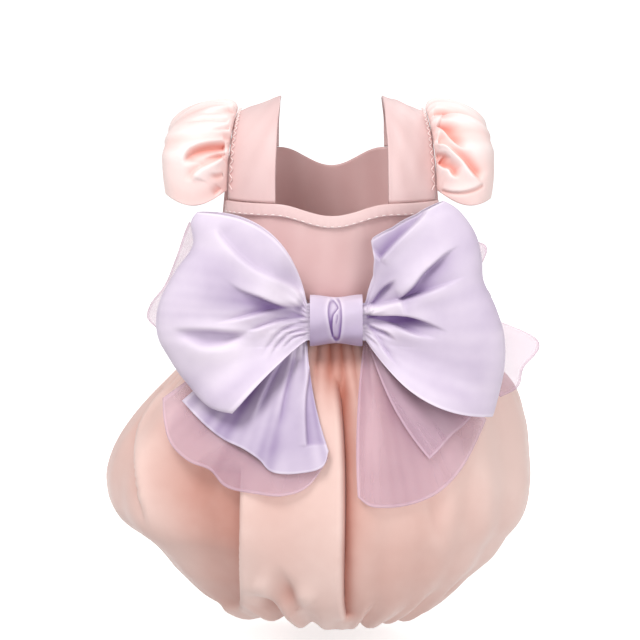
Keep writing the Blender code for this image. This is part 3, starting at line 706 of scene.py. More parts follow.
def through(rows, at):
    """A table's columns on smooth curves through its rows, at values of its first column."""
    table = np.array(rows, dtype=float)
    keys, values = table[:, 0], table[:, 1:]
    slopes = np.gradient(values, keys, axis=0)
    at = np.clip(at, keys[0], keys[-1])
    row = np.clip(np.searchsorted(keys, at, side="right") - 1, 0, len(keys) - 2)
    span = keys[row + 1] - keys[row]
    t = ((at - keys[row]) / span)[..., None]
    span = span[..., None]
    found = (
        (1 + 2 * t) * (1 - t) ** 2 * values[row]
        + t * (1 - t) ** 2 * span * slopes[row]
        + t * t * (3 - 2 * t) * values[row + 1]
        - t * t * (1 - t) * span * slopes[row + 1]
    )
    return type(rows[0])(at, *np.moveaxis(found, -1, 0))


def oval(angle, left, right, back, front, squareness):
    """A point of a rounded square ring; angle 0 is the back, and 90 degrees the right."""
    across, along = np.sin(angle), np.cos(angle)
    wide = np.abs(across) / np.where(across > 0, right, left)
    deep = np.abs(along) / np.where(along > 0, back, front)
    reach = (wide**squareness + deep**squareness) ** (-1 / squareness)
    return reach * across, -reach * along


def oval_depth(x, half_width, half_depth, squareness):
    """How far an oval's back is from the axis plane at x, or 0 past its side."""
    share = np.minimum(1.0, np.abs(x) / half_width)
    return half_depth * (1 - share**squareness) ** (1 / squareness)


def ripples(pattern, across, along, shift=0):
    """Soft uneven wrinkles of about -1 to 1, from seeded waves around one heading."""
    draws = np.random.default_rng(pattern.seed + shift)
    across, along = pattern.across * across, pattern.along * along
    total = 0.0
    for _ in range(RIPPLE_WAVES):
        turn = pattern.heading + draws.uniform(-pattern.spread, pattern.spread)
        wave = pattern.span * draws.uniform(0.65, 1.6)
        phase = draws.uniform(0, 2 * math.pi)
        way = across * math.cos(turn) + along * math.sin(turn)
        total = total + np.sin(2 * math.pi * way / wave + phase)
    return total / math.sqrt(RIPPLE_WAVES)


def seen(points):
    """Where points are in the front view: across and up, in metres."""
    offset = points - np.array(camera_place())
    level, tilt = math.cos(CAMERA_HEIGHT_ANGLE), math.sin(CAMERA_HEIGHT_ANGLE)
    ahead = offset[:, 1] * level - offset[:, 2] * tilt
    up = offset[:, 1] * tilt + offset[:, 2] * level
    scale = CAMERA_DISTANCE / ahead
    return VIEW_CENTRE_ACROSS + offset[:, 0] * scale, VIEW_CENTRE_UP + up * scale


def camera_place():
    """Where the camera stands."""
    return VIEW_TARGET + CAMERA_DISTANCE * Vector(
        (0.0, -math.cos(CAMERA_HEIGHT_ANGLE), math.sin(CAMERA_HEIGHT_ANGLE))
    )


def creased(creases, across, up):
    """How far creases lift or sink the cloth at places of the front view, in metres."""
    relief = np.zeros_like(across)
    for crease in creases:
        marks = np.array(crease.points) / 1000
        steps = np.linspace(0, len(marks) - 1, CREASE_STEPS)
        keys = np.arange(len(marks), dtype=float)
        way = through([Mark(k, *m) for k, m in zip(keys, marks)], steps)
        best = np.full(across.shape, np.inf)
        side = np.zeros_like(across)
        share = np.zeros_like(across)
        for i in range(CREASE_STEPS - 1):
            dx, dy = way.across[i + 1] - way.across[i], way.up[i + 1] - way.up[i]
            px, py = across - way.across[i], up - way.up[i]
            on = np.clip((px * dx + py * dy) / (dx * dx + dy * dy), 0.0, 1.0)
            far = np.hypot(px - on * dx, py - on * dy)
            nearer = far < best
            best = np.where(nearer, far, best)
            side = np.where(nearer, np.sign(dx * py - dy * px), side)
            share = np.where(nearer, (i + on) / (CREASE_STEPS - 1), share)
        left = crease.left * np.exp(-((best * 1000 / crease.left_width) ** 2))
        right = crease.right * np.exp(-((best * 1000 / crease.right_width) ** 2))
        cross = 0.5 * (1 + np.tanh(side * best * 1000 / crease.edge))
        fade = smooth(share / crease.fade_in) * smooth((1 - share) / crease.fade_out)
        relief += lerp(right, left, cross) * fade / 1000
    return relief


def painted_light_patches(tints, across, up):
    """How much painted shade soft oval patches give the cloth, with painted highlight where an
    amount is below 0.
    """
    depth = np.zeros_like(across)
    for tint in tints:
        turn = math.radians(tint.turn)
        dx, dy = 1000 * across - tint.across, 1000 * up - tint.up
        long = (dx * math.cos(turn) + dy * math.sin(turn)) / tint.half_long
        short = (dy * math.cos(turn) - dx * math.sin(turn)) / tint.half_short
        depth += tint.amount * np.exp(-(long**2 + short**2))
    return depth


def node(tree, kind, props=None, sockets=None):
    """Adds a shader node, sets its properties, and sets or links its input sockets."""
    made = tree.nodes.new(kind)
    for name, value in (props or {}).items():
        setattr(made, name, value)
    for name, value in (sockets or {}).items():
        if isinstance(value, bpy.types.NodeSocket):
            tree.links.new(value, made.inputs[name])
        else:
            made.inputs[name].default_value = value
    return made


def weave_height(tree):
    """The height of a plain weave on the piece's own UV map, whose unit is a metre."""
    chart = node(tree, "ShaderNodeUVMap", {"uv_map": "cloth"}).outputs["UV"]
    heights = {}
    for way, direction in enumerate(("X", "Y")):
        threads = node(
            tree,
            "ShaderNodeTexWave",
            {"wave_type": "BANDS", "bands_direction": direction, "wave_profile": "SIN"},
            {"Vector": chart, "Scale": WAVE_UNIT / THREAD_PITCH, "Distortion": 0.0},
        )
        heights[way] = threads.outputs["Fac"]
    both = node(tree, "ShaderNodeMath", {"operation": "MAXIMUM"}, heights)
    return both.outputs["Value"]


def plain_material(name, view_colour, roughness):
    """A material with one shader, with its node tree and that shader."""
    made = bpy.data.materials.new(name)
    made.use_nodes = True
    made.diffuse_color = view_colour
    shader = made.node_tree.nodes["Principled BSDF"]
    shader.inputs["Roughness"].default_value = roughness
    return made, made.node_tree, shader


def organza(name, light, deep, cloud=0.07, alpha=1.0, sheen=0.06):
    """Crisp sheer nylon over satin: paler where one layer shows, with painted shade in its
    folds and painted highlight on its ridges.
    """
    made, tree, shader = plain_material(name, light, 0.5)
    place = node(tree, "ShaderNodeTexCoord")
    # The fold attribute carries painted shade in folds, creases and gathers, and painted
    # highlight where it is low
    fold = node(tree, "ShaderNodeAttribute", {"attribute_name": "fold"})
    # Uneven layers let more or less colour through, in soft patches
    noise = {"Vector": place.outputs["Object"], "Scale": 1 / CLOUD_SIZE, "Detail": 3.0}
    patches = node(tree, "ShaderNodeTexNoise", None, noise)
    limits = {"From Min": 0.3, "From Max": 0.7, "To Min": -cloud, "To Max": cloud}
    patch = node(
        tree, "ShaderNodeMapRange", None, {"Value": patches.outputs["Fac"], **limits}
    )
    parts = {0: fold.outputs["Fac"], 1: patch.outputs["Result"]}
    shade = node(tree, "ShaderNodeMath", {"operation": "ADD", "use_clamp": True}, parts)
    ends = {0: shade.outputs["Value"], 6: light, 7: deep}
    mixed = node(tree, "ShaderNodeMix", {"data_type": "RGBA"}, ends)
    relief = {"Strength": 0.25, "Distance": THREAD_RELIEF, "Height": weave_height(tree)}
    bump = node(tree, "ShaderNodeBump", None, relief)
    tree.links.new(mixed.outputs[2], shader.inputs["Base Color"])
    tree.links.new(bump.outputs["Normal"], shader.inputs["Normal"])
    shader.inputs["Sheen Weight"].default_value = sheen
    shader.inputs["Sheen Roughness"].default_value = 0.4
    shader.inputs["Specular IOR Level"].default_value = 0.4
    if alpha < 1.0:
        # A turned hem has three layers instead of one, so less shows through it
        layers = node(tree, "ShaderNodeAttribute", {"attribute_name": "layers"})
        limits = {"To Min": alpha, "To Max": HEM_COVER * alpha}
        cover = node(
            tree, "ShaderNodeMapRange", None, {"Value": layers.outputs["Fac"], **limits}
        )
        tree.links.new(cover.outputs["Result"], shader.inputs["Alpha"])
    return made


def thread_finish(name, colour_value):
    """Polyester sewing thread: pale, smooth and slightly glossy, with a twisted surface."""
    made, tree, shader = plain_material(name, colour_value, 0.4)
    place = node(tree, "ShaderNodeTexCoord")
    noise = {"Vector": place.outputs["Object"], "Scale": 1 / THREAD_TWIST, "Detail": 1.0}
    twist = node(tree, "ShaderNodeTexNoise", None, noise)
    relief = {"Strength": 0.3, "Distance": THREAD_RELIEF, "Height": twist.outputs["Fac"]}
    bump = node(tree, "ShaderNodeBump", None, relief)
    tree.links.new(bump.outputs["Normal"], shader.inputs["Normal"])
    shader.inputs["Base Color"].default_value = colour_value
    return made


def new_object(name, bm):
    """An object of the scene made from finished mesh work."""
    mesh = bpy.data.meshes.new(name)
    bm.to_mesh(mesh)
    bm.free()
    obj = bpy.data.objects.new(name, mesh)
    bpy.context.scene.collection.objects.link(obj)
    return obj


def cloth(name, grid, place, flat, wall, inward=True, turn=False, closes=False):
    """A sheet of cloth on a grid: place(s, t) gives its points, its fold values of painted
    shade and, if sheer, its layers.
    """
    bm = bmesh.new()
    bm.loops.layers.uv.new("cloth")
    columns, rows = grid
    bmesh.ops.create_grid(bm, x_segments=columns, y_segments=rows, size=0.5, calc_uvs=True)
    if turn:
        bmesh.ops.reverse_faces(bm, faces=bm.faces)
    obj = new_object(name, bm)
    mesh = obj.data
    flat_grid = np.empty(3 * len(mesh.vertices), dtype=np.float32)
    mesh.vertices.foreach_get("co", flat_grid)
    s, t, _ = flat_grid.reshape(-1, 3).astype(float).T + 0.5
    points, *shades = place(s, t)
    mesh.vertices.foreach_set("co", points.astype(np.float32).ravel())
    for word, values in zip(("fold", "layers"), shades):
        layer = mesh.attributes.new(word, "FLOAT", "POINT")
        values = np.broadcast_to(np.clip(values, 0.0, 1.0), len(points))
        layer.data.foreach_set("value", values.astype(np.float32))
    chart = mesh.uv_layers["cloth"].data
    uv = np.empty(2 * len(chart), dtype=np.float32)
    chart.foreach_get("uv", uv)
    chart.foreach_set("uv", (uv.reshape(-1, 2) * np.array(flat, dtype=np.float32)).ravel())
    if closes:
        bm = bmesh.new()
        bm.from_mesh(mesh)
        bmesh.ops.remove_doubles(bm, verts=bm.verts, dist=1e-6)
        bm.to_mesh(mesh)
        bm.free()
    mesh.update()
    mesh.shade_smooth()
    thick = obj.modifiers.new("wall", "SOLIDIFY")
    thick.thickness = wall
    thick.offset = -1.0 if inward else 0.0
    return obj


def dress_piece(obj, finish, nodes):
    """Gives a piece its finish and its place in the frame, and hides the solids it stands for.
    """
    obj.data.materials.append(finish)
    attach(obj, "root")
    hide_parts(*nodes)


def finish_named(name, *values, **options):
    """A material made once and shared by the pieces of one cloth."""
    return bpy.data.materials.get(name) or organza(name, *values, **options)


def pink_organza():
    """The bodice, the straps and the neckline band."""
    return finish_named("bodice_organza", colours().bodice, colours().bodice_deep)


def pale_organza():
    """The skirt."""
    return finish_named("skirt_organza", colours().skirt, colours().skirt_deep, sheen=0.3)


def sleeve_organza():
    """The puff sleeves."""
    return finish_named("sleeve_organza", colours().sleeve, colours().sleeve_deep)


def lilac_organza():
    """The knot, the loops and the left tail."""
    return finish_named("bow_organza", colours().bow, colours().bow_deep, sheen=0.15)


def sheer_organza():
    """The single layers of the bow that the dress shows through."""
    return finish_named(
        "sheer_organza", colours().sheer, colours().sheer_deep, cloud=0.06, alpha=SHEER_ALPHA
    )


def body_half_sizes(z):
    """Half width and half depth of the bodice at a height."""
    dress = sizes()
    share = smooth((-z - dress.underarm_drop) / (dress.waist_drop - dress.underarm_drop))
    return (
        lerp(dress.chest_half_width, dress.waist_half_width, share),
        lerp(dress.chest_half_depth, dress.waist_half_depth, share),
    )


def body_point(angle, z, stand_off=0.0):
    """A point of the bodice, at an angle round it and a height."""
    width, depth = (size + stand_off for size in body_half_sizes(z))
    x, y = oval(angle, width, width, depth, depth, sizes().squareness)
    return points_of(x, y, z)


def top_edge(x, drop, dip):
    """The neckline's height: flat under the straps and dipping between them."""
    share = np.minimum(1.0, np.abs(x) / sizes().neck_half_gap)
    return -drop - dip * (0.5 + 0.5 * np.cos(math.pi * share))


def strap_angle():
    """The angle round the body at which the straps' outer edges stand."""
    dress = sizes()
    x = dress.neck_half_gap + dress.strap_width
    depth = oval_depth(x, dress.chest_half_width, dress.chest_half_depth, dress.squareness)
    return math.atan2(x, depth)


def panel_top(turn, drop, dip):
    """A panel's top edge: the neckline, then the armhole down to the side seam."""
    dress = sizes()
    x = body_point(turn, -drop)[:, 0]
    corner = dress.armhole_corner * (math.pi / 2 - strap_angle())
    fall = smooth((np.abs(turn) - strap_angle()) / corner)
    return lerp(top_edge(x, drop, dip), -dress.underarm_drop, fall)


def seam_angle():
    """The half angle of a panel, short of the side seam by half a gap."""
    return math.pi / 2 - 0.5 * SEAM_GAP / sizes().chest_half_width


def make_panel(name, centre, drop, dip, flat):
    """A panel of the bodice; its centre is 0 at the back and pi at the belly."""
    dress = sizes()

    def place(s, t):
        turn = lerp(-seam_angle(), seam_angle(), s)
        z = lerp(-dress.waist_drop, panel_top(turn, drop, dip), t)
        angle = centre + turn
        # A worn bodice has slight upright wrinkles, which the gathered waist makes deeper
        wrinkle = ripples(PANEL_WRINKLES, turn * dress.chest_half_width, z)
        waist = 1 - smooth(t / 0.5)
        gathers = waist * np.sin(40 * turn + 2 * wrinkle)
        relief = BODICE_WRINKLE * wrinkle + WAIST_GATHER * gathers
        # Painted shade deepens the colour towards the gathered waist and in the wrinkles'
        # hollows, and painted highlight pales their ridges
        return body_point(angle, z, relief), BODICE_SHADE + WAIST_SHADE * waist - 0.05 * wrinkle

    return cloth(name, PANEL_GRID, place, flat, dress.cloth)


class DRESS_OT_bodice(bpy.types.Operator):
    """Make the bodice's two panels, the neckline's band and the belly placket."""

    bl_idname = "dress.bodice"
    bl_label = "Bodice"

    def execute(self, context):
        dress = context.scene.dress_sizes
        pink = pink_organza()
        back = make_panel(
            "bodice_back_cloth", 0.0, dress.neckline_drop, dress.neckline_dip, BACK_FLAT
        )
        dress_piece(back, pink, ["bodice_back"])
        chest = make_panel(
            "chest_panel_cloth", math.pi, dress.chest_top_drop, dress.chest_dip, CHEST_FLAT
        )
        dress_piece(chest, pink, ["chest_panel"])
        placket = make_placket()
        dress_piece(placket, pink, ["belly_placket"])
        band = make_neckline_band()
        dress_piece(band, pink, ["neckline_band"])
        return {"FINISHED"}


def make_placket():
    """The plain overlapping strip that closes the dress under the belly."""
    dress = sizes()

    def place(s, t):
        x = lerp(dress.placket_width / 2, -dress.placket_width / 2, s)
        top = top_edge(0.0, dress.chest_top_drop, dress.chest_dip) - SEAM_GAP
        z = lerp(-dress.waist_drop + SEAM_GAP, top, t)
        width, depth = body_half_sizes(z)
        # The stand off clears the panel's wrinkles, and the strip's sewn edges lie flatter
        stand_off = PLACKET_STAND_OFF - PLACKET_EDGE_DROP * np.abs(2 * s - 1) ** 4
        y = oval_depth(x, width, depth, dress.squareness) + stand_off
        return points_of(x, y, z), PLACKET_SHADE + 0.25 * np.abs(2 * s - 1) ** 6

    return cloth("belly_placket_cloth", PLACKET_GRID, place, PLACKET_FLAT, THIN_CLOTH)


def band_line(s, down):
    """A point along the neckline's band, at a share of its height below its top edge."""
    dress = sizes()
    angle = lerp(-strap_angle(), strap_angle(), s)
    x = body_point(angle, -dress.neckline_drop + 0 * s)[:, 0]
    top = top_edge(x, dress.neckline_drop, dress.neckline_dip) + SEAM_GAP
    return angle, top - dress.band_height * down


def make_neckline_band():
    """The folded edge along the back neckline, from one armhole to the other."""

    def place(s, t):
        angle, z = band_line(s, 1 - t)
        # The turned edge is fullest near its fold, and pulled flat along its stitches
        full = np.sin(math.pi * np.clip(0.12 + 0.8 * t, 0, 1)) ** 0.7
        pucker = BAND_PUCKER * np.sin(2 * math.pi * BAND_PUCKERS * s) * (1 - t)
        stand_off = SEAM_GAP + BAND_STAND_OFF + BAND_FULLNESS * full + pucker
        # Painted shade: the colour deepens where the band lies flat, and is palest where it is
        # fullest
        return body_point(angle, z, stand_off), BAND_SHADE * (1 - full)

    return cloth("neckline_band_cloth", BAND_GRID, place, BAND_FLAT, THIN_CLOTH)


def strap_point(side, across, along, stand_off=0.0):
    """A strap from the back neckline over the shoulder; across runs from neck to arm."""
    dress = sizes()
    turn = math.pi * along
    narrowing = lerp(1.0, dress.strap_taper, np.sin(turn) ** 2)
    x = (dress.neck_half_gap + dress.strap_width * across) * narrowing
    foot = np.where(along < 0.5, -dress.neckline_drop, -dress.chest_top_drop) + SEAM_GAP
    top = -dress.shoulder_slope * across
    depth = oval_depth(
        x / narrowing, dress.chest_half_width, dress.chest_half_depth, dress.squareness
    )
    rise = 2 / dress.squareness
    y = -(depth + stand_off) * power(np.cos(turn), rise)
    z = lerp(foot, top + stand_off, np.abs(np.sin(turn)) ** rise)
    return points_of(side * x, y, z)


def make_strap(name, side):
    """A shoulder strap with soft wrinkles across it and flat sewn edges."""

    def place(s, t):
        wrinkle = ripples(STRAP_WRINKLES, s, t, side)
        edge = np.abs(2 * s - 1) ** 8
        relief = STRAP_WRINKLE * wrinkle * (1 - edge) - STRAP_EDGE_DROP * edge
        points = strap_point(side, s, t, relief)
        # Painted shade follows the wrinkles, deeper where they stand up, and darkens the flat
        # sewn edges
        return points, STRAP_SHADE + 0.07 * wrinkle + 0.1 * edge

    return cloth(name, STRAP_GRID, place, STRAP_FLAT, sizes().cloth, turn=side < 0)


def sleeve_frame(side, along):
    """The sleeve's seam point, and its outward and bulging directions, at places along it."""
    step = 0.01
    seam = strap_point(side, 1.0, along)
    before = strap_point(side, 1.0, np.maximum(0.0, along - step))
    after = strap_point(side, 1.0, np.minimum(1.0, along + step))
    tangent = after - before
    tangent /= np.linalg.norm(tangent, axis=1)[:, None]
    outward = np.array((side, 0.0, 0.0)) - tangent * (side * tangent[:, :1])
    outward /= np.linalg.norm(outward, axis=1)[:, None]
    bulge = np.cross(tangent, outward) * -side
    return seam, outward, bulge


def make_sleeve(name, side, creases):
    """A puff sleeve: one gathered strip that bulges out from the strap's outer edge."""
    dress = sizes()

    def place(s, t):
        along = lerp(SLEEVE_START, 1 - SLEEVE_START, t)
        seam, outward, bulge = sleeve_frame(side, along)
        end = lerp(SLEEVE_END, 1.0, (1 - np.abs(2 * along - 1) ** 5) ** 0.5)
        turn = np.radians(lerp(180, -65, s))
        # Gathers start close together at the seam and merge as they run out
        uneven = ripples(SLEEVE_UNEVEN, along, 0.0, side)
        phase = 2 * math.pi * SLEEVE_PLEATS * along + 1.3 * uneven
        near = (1 - s) ** 1.2 * np.minimum(1.0, 6 * s)
        small = np.sin(2.3 * phase) * (1 - s) ** 2 * np.minimum(1.0, 9 * s)
        frill = np.sin(5.1 * phase) * smooth((s - 0.72) / 0.2)
        depth = SLEEVE_GATHER * np.cos(phase) * near + SLEEVE_SMALL_GATHER * small
        depth = depth + SLEEVE_FRILL * frill
        reach = dress.sleeve_reach * end * (dress.sleeve_right if side > 0 else 1.0)
        middle = np.sin(math.pi * along)
        top_puff = lerp(dress.sleeve_puff, dress.sleeve_top, middle**4)
        puff = end * np.where(turn > 0, top_puff, dress.sleeve_puff)
        out = 0.5 * reach * (1 + np.cos(turn)) + depth * np.cos(turn)
        up = puff * np.sin(turn) + depth * np.sin(turn)
        # The puff's ends hang in a curve below the seam, and its outer side droops
        hang = dress.sleeve_sag * (1 - middle) * np.sin(math.pi * out / SLEEVE_HANG_SPAN)
        droop = dress.sleeve_droop * out / dress.sleeve_reach
        sag = points_of(0.0, 0.0, hang + droop * middle)
        base = seam + outward * (SEAM_GAP + out)[:, None] + bulge * up[:, None] - sag
        relief = creased(creases, *seen(base)) * smooth(s / 0.06) * smooth((0.93 - s) / 0.2)
        relief *= smooth((0.5 - along) / 0.1)
        points = base + bulge * relief[:, None]
        # Painted shade deepens the colour in the sinking creases and the gathers' hollows, and
        # painted highlight pales it on their ridges
        fold = SLEEVE_SHADE - relief / SLEEVE_DEEP_CREASE - depth / SLEEVE_DEEP_GATHER
        return points, fold

    return cloth(name, SLEEVE_GRID, place, SLEEVE_FLAT, THIN_CLOTH, turn=side < 0)


class DRESS_OT_straps(bpy.types.Operator):
    """Make the two shoulder straps."""

    bl_idname = "dress.straps"
    bl_label = "Straps"

    def execute(self, context):
        for word, side in (("left", -1), ("right", 1)):
            strap = make_strap(f"strap_{word}_cloth", side)
            dress_piece(strap, pink_organza(), [f"strap_{word}"])
        return {"FINISHED"}


class DRESS_OT_sleeves(bpy.types.Operator):
    """Make the two puff sleeves."""

    bl_idname = "dress.sleeves"
    bl_label = "Puff sleeves"

    def execute(self, context):
        rows = (("left", -1, SLEEVE_LEFT_CREASES), ("right", 1, SLEEVE_RIGHT_CREASES))
        for word, side, creases in rows:
            sleeve = make_sleeve(f"sleeve_{word}_cloth", side, creases)
            dress_piece(sleeve, sleeve_organza(), [f"sleeve_{word}"])
        return {"FINISHED"}


def skirt_half_sizes(section, below):
    """Left, right, back and front half sizes of the skirt at sections of its table."""
    dress = sizes()
    foot_width = np.where(below, dress.hem_half_width, dress.waist_half_width)
    foot_depth = np.where(below, dress.hem_half_depth, dress.waist_half_depth)
    return (
        lerp(foot_width, dress.skirt_left, section.left),
        lerp(foot_width, dress.skirt_right, section.right),
        lerp(foot_depth, dress.skirt_back, section.depth),
        lerp(foot_depth, dress.skirt_front, section.depth),
    )


def dimpled(dimples, across, up):
    """How far round dimples sink the cloth at places of the front view, in metres."""
    relief = np.zeros_like(across)
    for dimple in dimples:
        away = np.hypot(across - dimple.across / 1000, up - dimple.up / 1000)
        relief -= dimple.depth / 1000 * np.exp(-((away * 1000 / dimple.radius) ** 2))
    return relief


def on_the_back(points):
    """1 on the back of the dress, which the front view sees, and 0 on its belly side."""
    return smooth((0.01 - points[:, 1]) / 0.02)


def make_skirt():
    """The bubble skirt: gathered at the waist, full, and turned under at the hem."""
    dress = sizes()
    belly = [BELLY_FOLD._replace(angle=angle) for angle in BELLY_FOLD_ANGLES]
    folds = [*SKIRT_FOLDS, *belly]

    def place(s, t):
        # Columns are twice as close together at the back, where the creases are
        round_trip = 2 * math.pi * (s - 0.5)
        angle = round_trip - 0.45 * np.sin(round_trip)
        section = through(SKIRT_SECTIONS, SKIRT_PATH_END * t)
        drop = section.drop
        below = SKIRT_PATH_END * t > SKIRT_FULLEST
        squareness = lerp(dress.squareness, SKIRT_SQUARENESS, smooth(4 * drop))
        x, y = oval(angle, *skirt_half_sizes(section, below), squareness)
        open_share = smooth(drop / 0.25) * (0.35 + 0.65 * smooth((1 - drop) / 0.12))
        sink, lift = 0.0, 0.0
        for fold in folds:
            away = (np.degrees(angle) - fold.angle + 180) % 360 - 180
            dip = dent(away, fold.half_span)
            sink = sink + fold.depth * dip
            lift = lift + fold.lift * dip
        hem_share = smooth((drop - 0.8) / 0.15)
        z = -dress.waist_drop - SEAM_GAP - dress.skirt_length * drop
        z = z + dress.hem_scallop * lift * hem_share
        scale = 1 - sink * open_share
        base = points_of(x * scale, y * scale, z)
        # Fine gathers run down from the waist seam, and short ones up from the hem
        uneven = ripples(SKIRT_UNEVEN, angle, drop)
        gathers = np.sin(58 * angle + 3.0 * uneven) * (1 - smooth(drop / 0.32))
        gathers = gathers * smooth(drop / 0.03 + 0.35)
        puckers = np.sin(46 * angle + 2.5 * uneven) * smooth((drop - 0.82) / 0.18)
        billow = ripples(SKIRT_BILLOWS, angle, drop)
        crease = creased(SKIRT_CREASES, *seen(base)) + dimpled(SKIRT_DIMPLES, *seen(base))
        crease = crease * on_the_back(base) * smooth((1.0 - drop) / 0.06)
        body = smooth(drop / 0.2) * smooth((1 - drop) / 0.15)
        relief = SKIRT_GATHER * gathers + SKIRT_PUCKER * puckers
        relief = relief + SKIRT_BILLOW * billow * body + crease
        reach = np.hypot(base[:, 0], base[:, 1])
        base[:, :2] *= (1 + relief / reach)[:, None]
        # Painted shade deepens the colour in sunken creases, gathers, puckers, billows and the
        # wide folds, painted highlight pales their ridges, and the back's patches add both
        shade = SKIRT_SHADE - crease / SKIRT_DEEP_CREASE - 0.12 * gathers - 0.06 * puckers
        shade = shade + SKIRT_FOLD_SHADE * sink * open_share - 0.03 * billow
        return base, shade + painted_light_patches(SKIRT_TINTS, *seen(base)) * on_the_back(base)

    return cloth("skirt_cloth", SKIRT_GRID, place, SKIRT_FLAT, dress.cloth, closes=True)


class DRESS_OT_skirt(bpy.types.Operator):
    """Make the bubble skirt."""

    bl_idname = "dress.skirt"
    bl_label = "Bubble skirt"

    def execute(self, context):
        skirt = make_skirt()
        dress_piece(skirt, pale_organza(), ["skirt_back", "skirt_belly"])
        return {"FINISHED"}


def skirt_outside(x, z):
    """How far the skirt's back reaches at a place, without its folds."""
    dress = sizes()
    drop = (-z - dress.waist_drop - SEAM_GAP) / dress.skirt_length
    section = through(SKIRT_SECTIONS[:-2], drop)
    left, right, back, _ = skirt_half_sizes(section, drop > SKIRT_FULLEST)
    depth = oval_depth(x, np.where(x > 0, right, left), back, SKIRT_SQUARENESS)
    return depth * (drop > 0) * (drop < 1)


def drape_depth(x, z):
    """The surface that the bow lies on: the dress's back, and a flat depth past its sides."""
    dress = sizes()
    width, depth = body_half_sizes(np.maximum(z, -dress.waist_drop))
    bodice = oval_depth(x, width, depth, dress.squareness)
    reaches = (FLOAT_DEPTH, bodice, skirt_outside(x, z))
    return sum(reach**10 for reach in reaches) ** 0.1


def knot_centre():
    """The middle of the knot, which lies against the back of the bodice."""
    bow = bow_sizes()
    _, depth = body_half_sizes(-bow.knot_drop)
    reach = bow.knot_depth / 2 * (1 + bow.knot_flare)
    return Vector((bow.knot_offset, -(depth + SEAM_GAP + reach), -bow.knot_drop))


def root_point(sheet, across):
    """Where a ray leaves the knot, in the bow's plane and from the knot's middle."""
    bow = bow_sizes()
    x = bow.knot_width / 2 + bow.root_clearance + sheet.root_height * sheet.tilt * (1 - across)
    return sheet.side * x, sheet.root_height * (0.5 - across)


def ray_point(sheet, across, out):
    """Where rays of a bow sheet are, in the bow's plane, at shares of their length."""
    ray = through(sheet.rays, across)
    angle = np.radians(ray.angle)
    root_x, root_z = root_point(sheet, across)
    far_x = sheet.reach * ray.reach * sheet.side * np.cos(angle)
    far_z = sheet.reach * ray.reach * np.sin(angle)
    middle_x = (root_x + far_x) / 2 - sheet.side * (far_z - root_z) * ray.bow
    middle_z = (root_z + far_z) / 2 + sheet.side * (far_x - root_x) * ray.bow
    shares = ((1 - out) ** 2, 2 * out * (1 - out), out**2)
    x = root_x * shares[0] + middle_x * shares[1] + far_x * shares[2]
    z = root_z * shares[0] + middle_z * shares[1] + far_z * shares[2]
    centre = knot_centre()
    if sheet.pushes:
        ways, pushes_x, pushes_z = np.array(sheet.pushes).T
        held_back = smooth(1 - across / PUSHED_SHARE) / 1000
        x = x + np.interp(out, ways, pushes_x) * held_back
        z = z + np.interp(out, ways, pushes_z) * held_back
    return centre.x + x, centre.z + z


def lying_point(sheet, across, out, root_layer, relief, crease):
    """Points of a bow sheet from where it leaves the knot (out 0) to its far edge (out 1)."""
    bow = bow_sizes()
    root_y = knot_centre().y + ROOT_LAYER * root_layer
    x, z = ray_point(sheet, across, out)
    drape = drape_depth(x, z) + BOW_CLEARANCE
    depth = lerp(-root_y, drape + bow.layer * sheet.layer + relief, smooth(out / 0.4))
    depth = np.maximum(depth, drape + TIGHT_LAYER * sheet.layer)
    return points_of(x, -(depth + crease), z)


def held(sheet, across, root_layer, out, lying):
    """Brings the sheet's end into the knot where out is below 0."""
    centre = knot_centre()
    root_x, root_z = root_point(sheet, across)
    end = points_of(
        centre.x + ROOT_HELD * root_x, centre.y + ROOT_LAYER * root_layer, centre.z + root_z
    )
    return lerp(lying, end, np.clip(-out, 0.0, 1.0)[:, None])


def bow_cloth(sheet, grid, place):
    """A cloth of the bow, thickened to both sides, with its outer side to the front."""
    return cloth(f"{sheet.node}_cloth", grid, place, sheet.flat, bow_sizes().cloth,
                 inward=False, turn=sheet.side < 0)


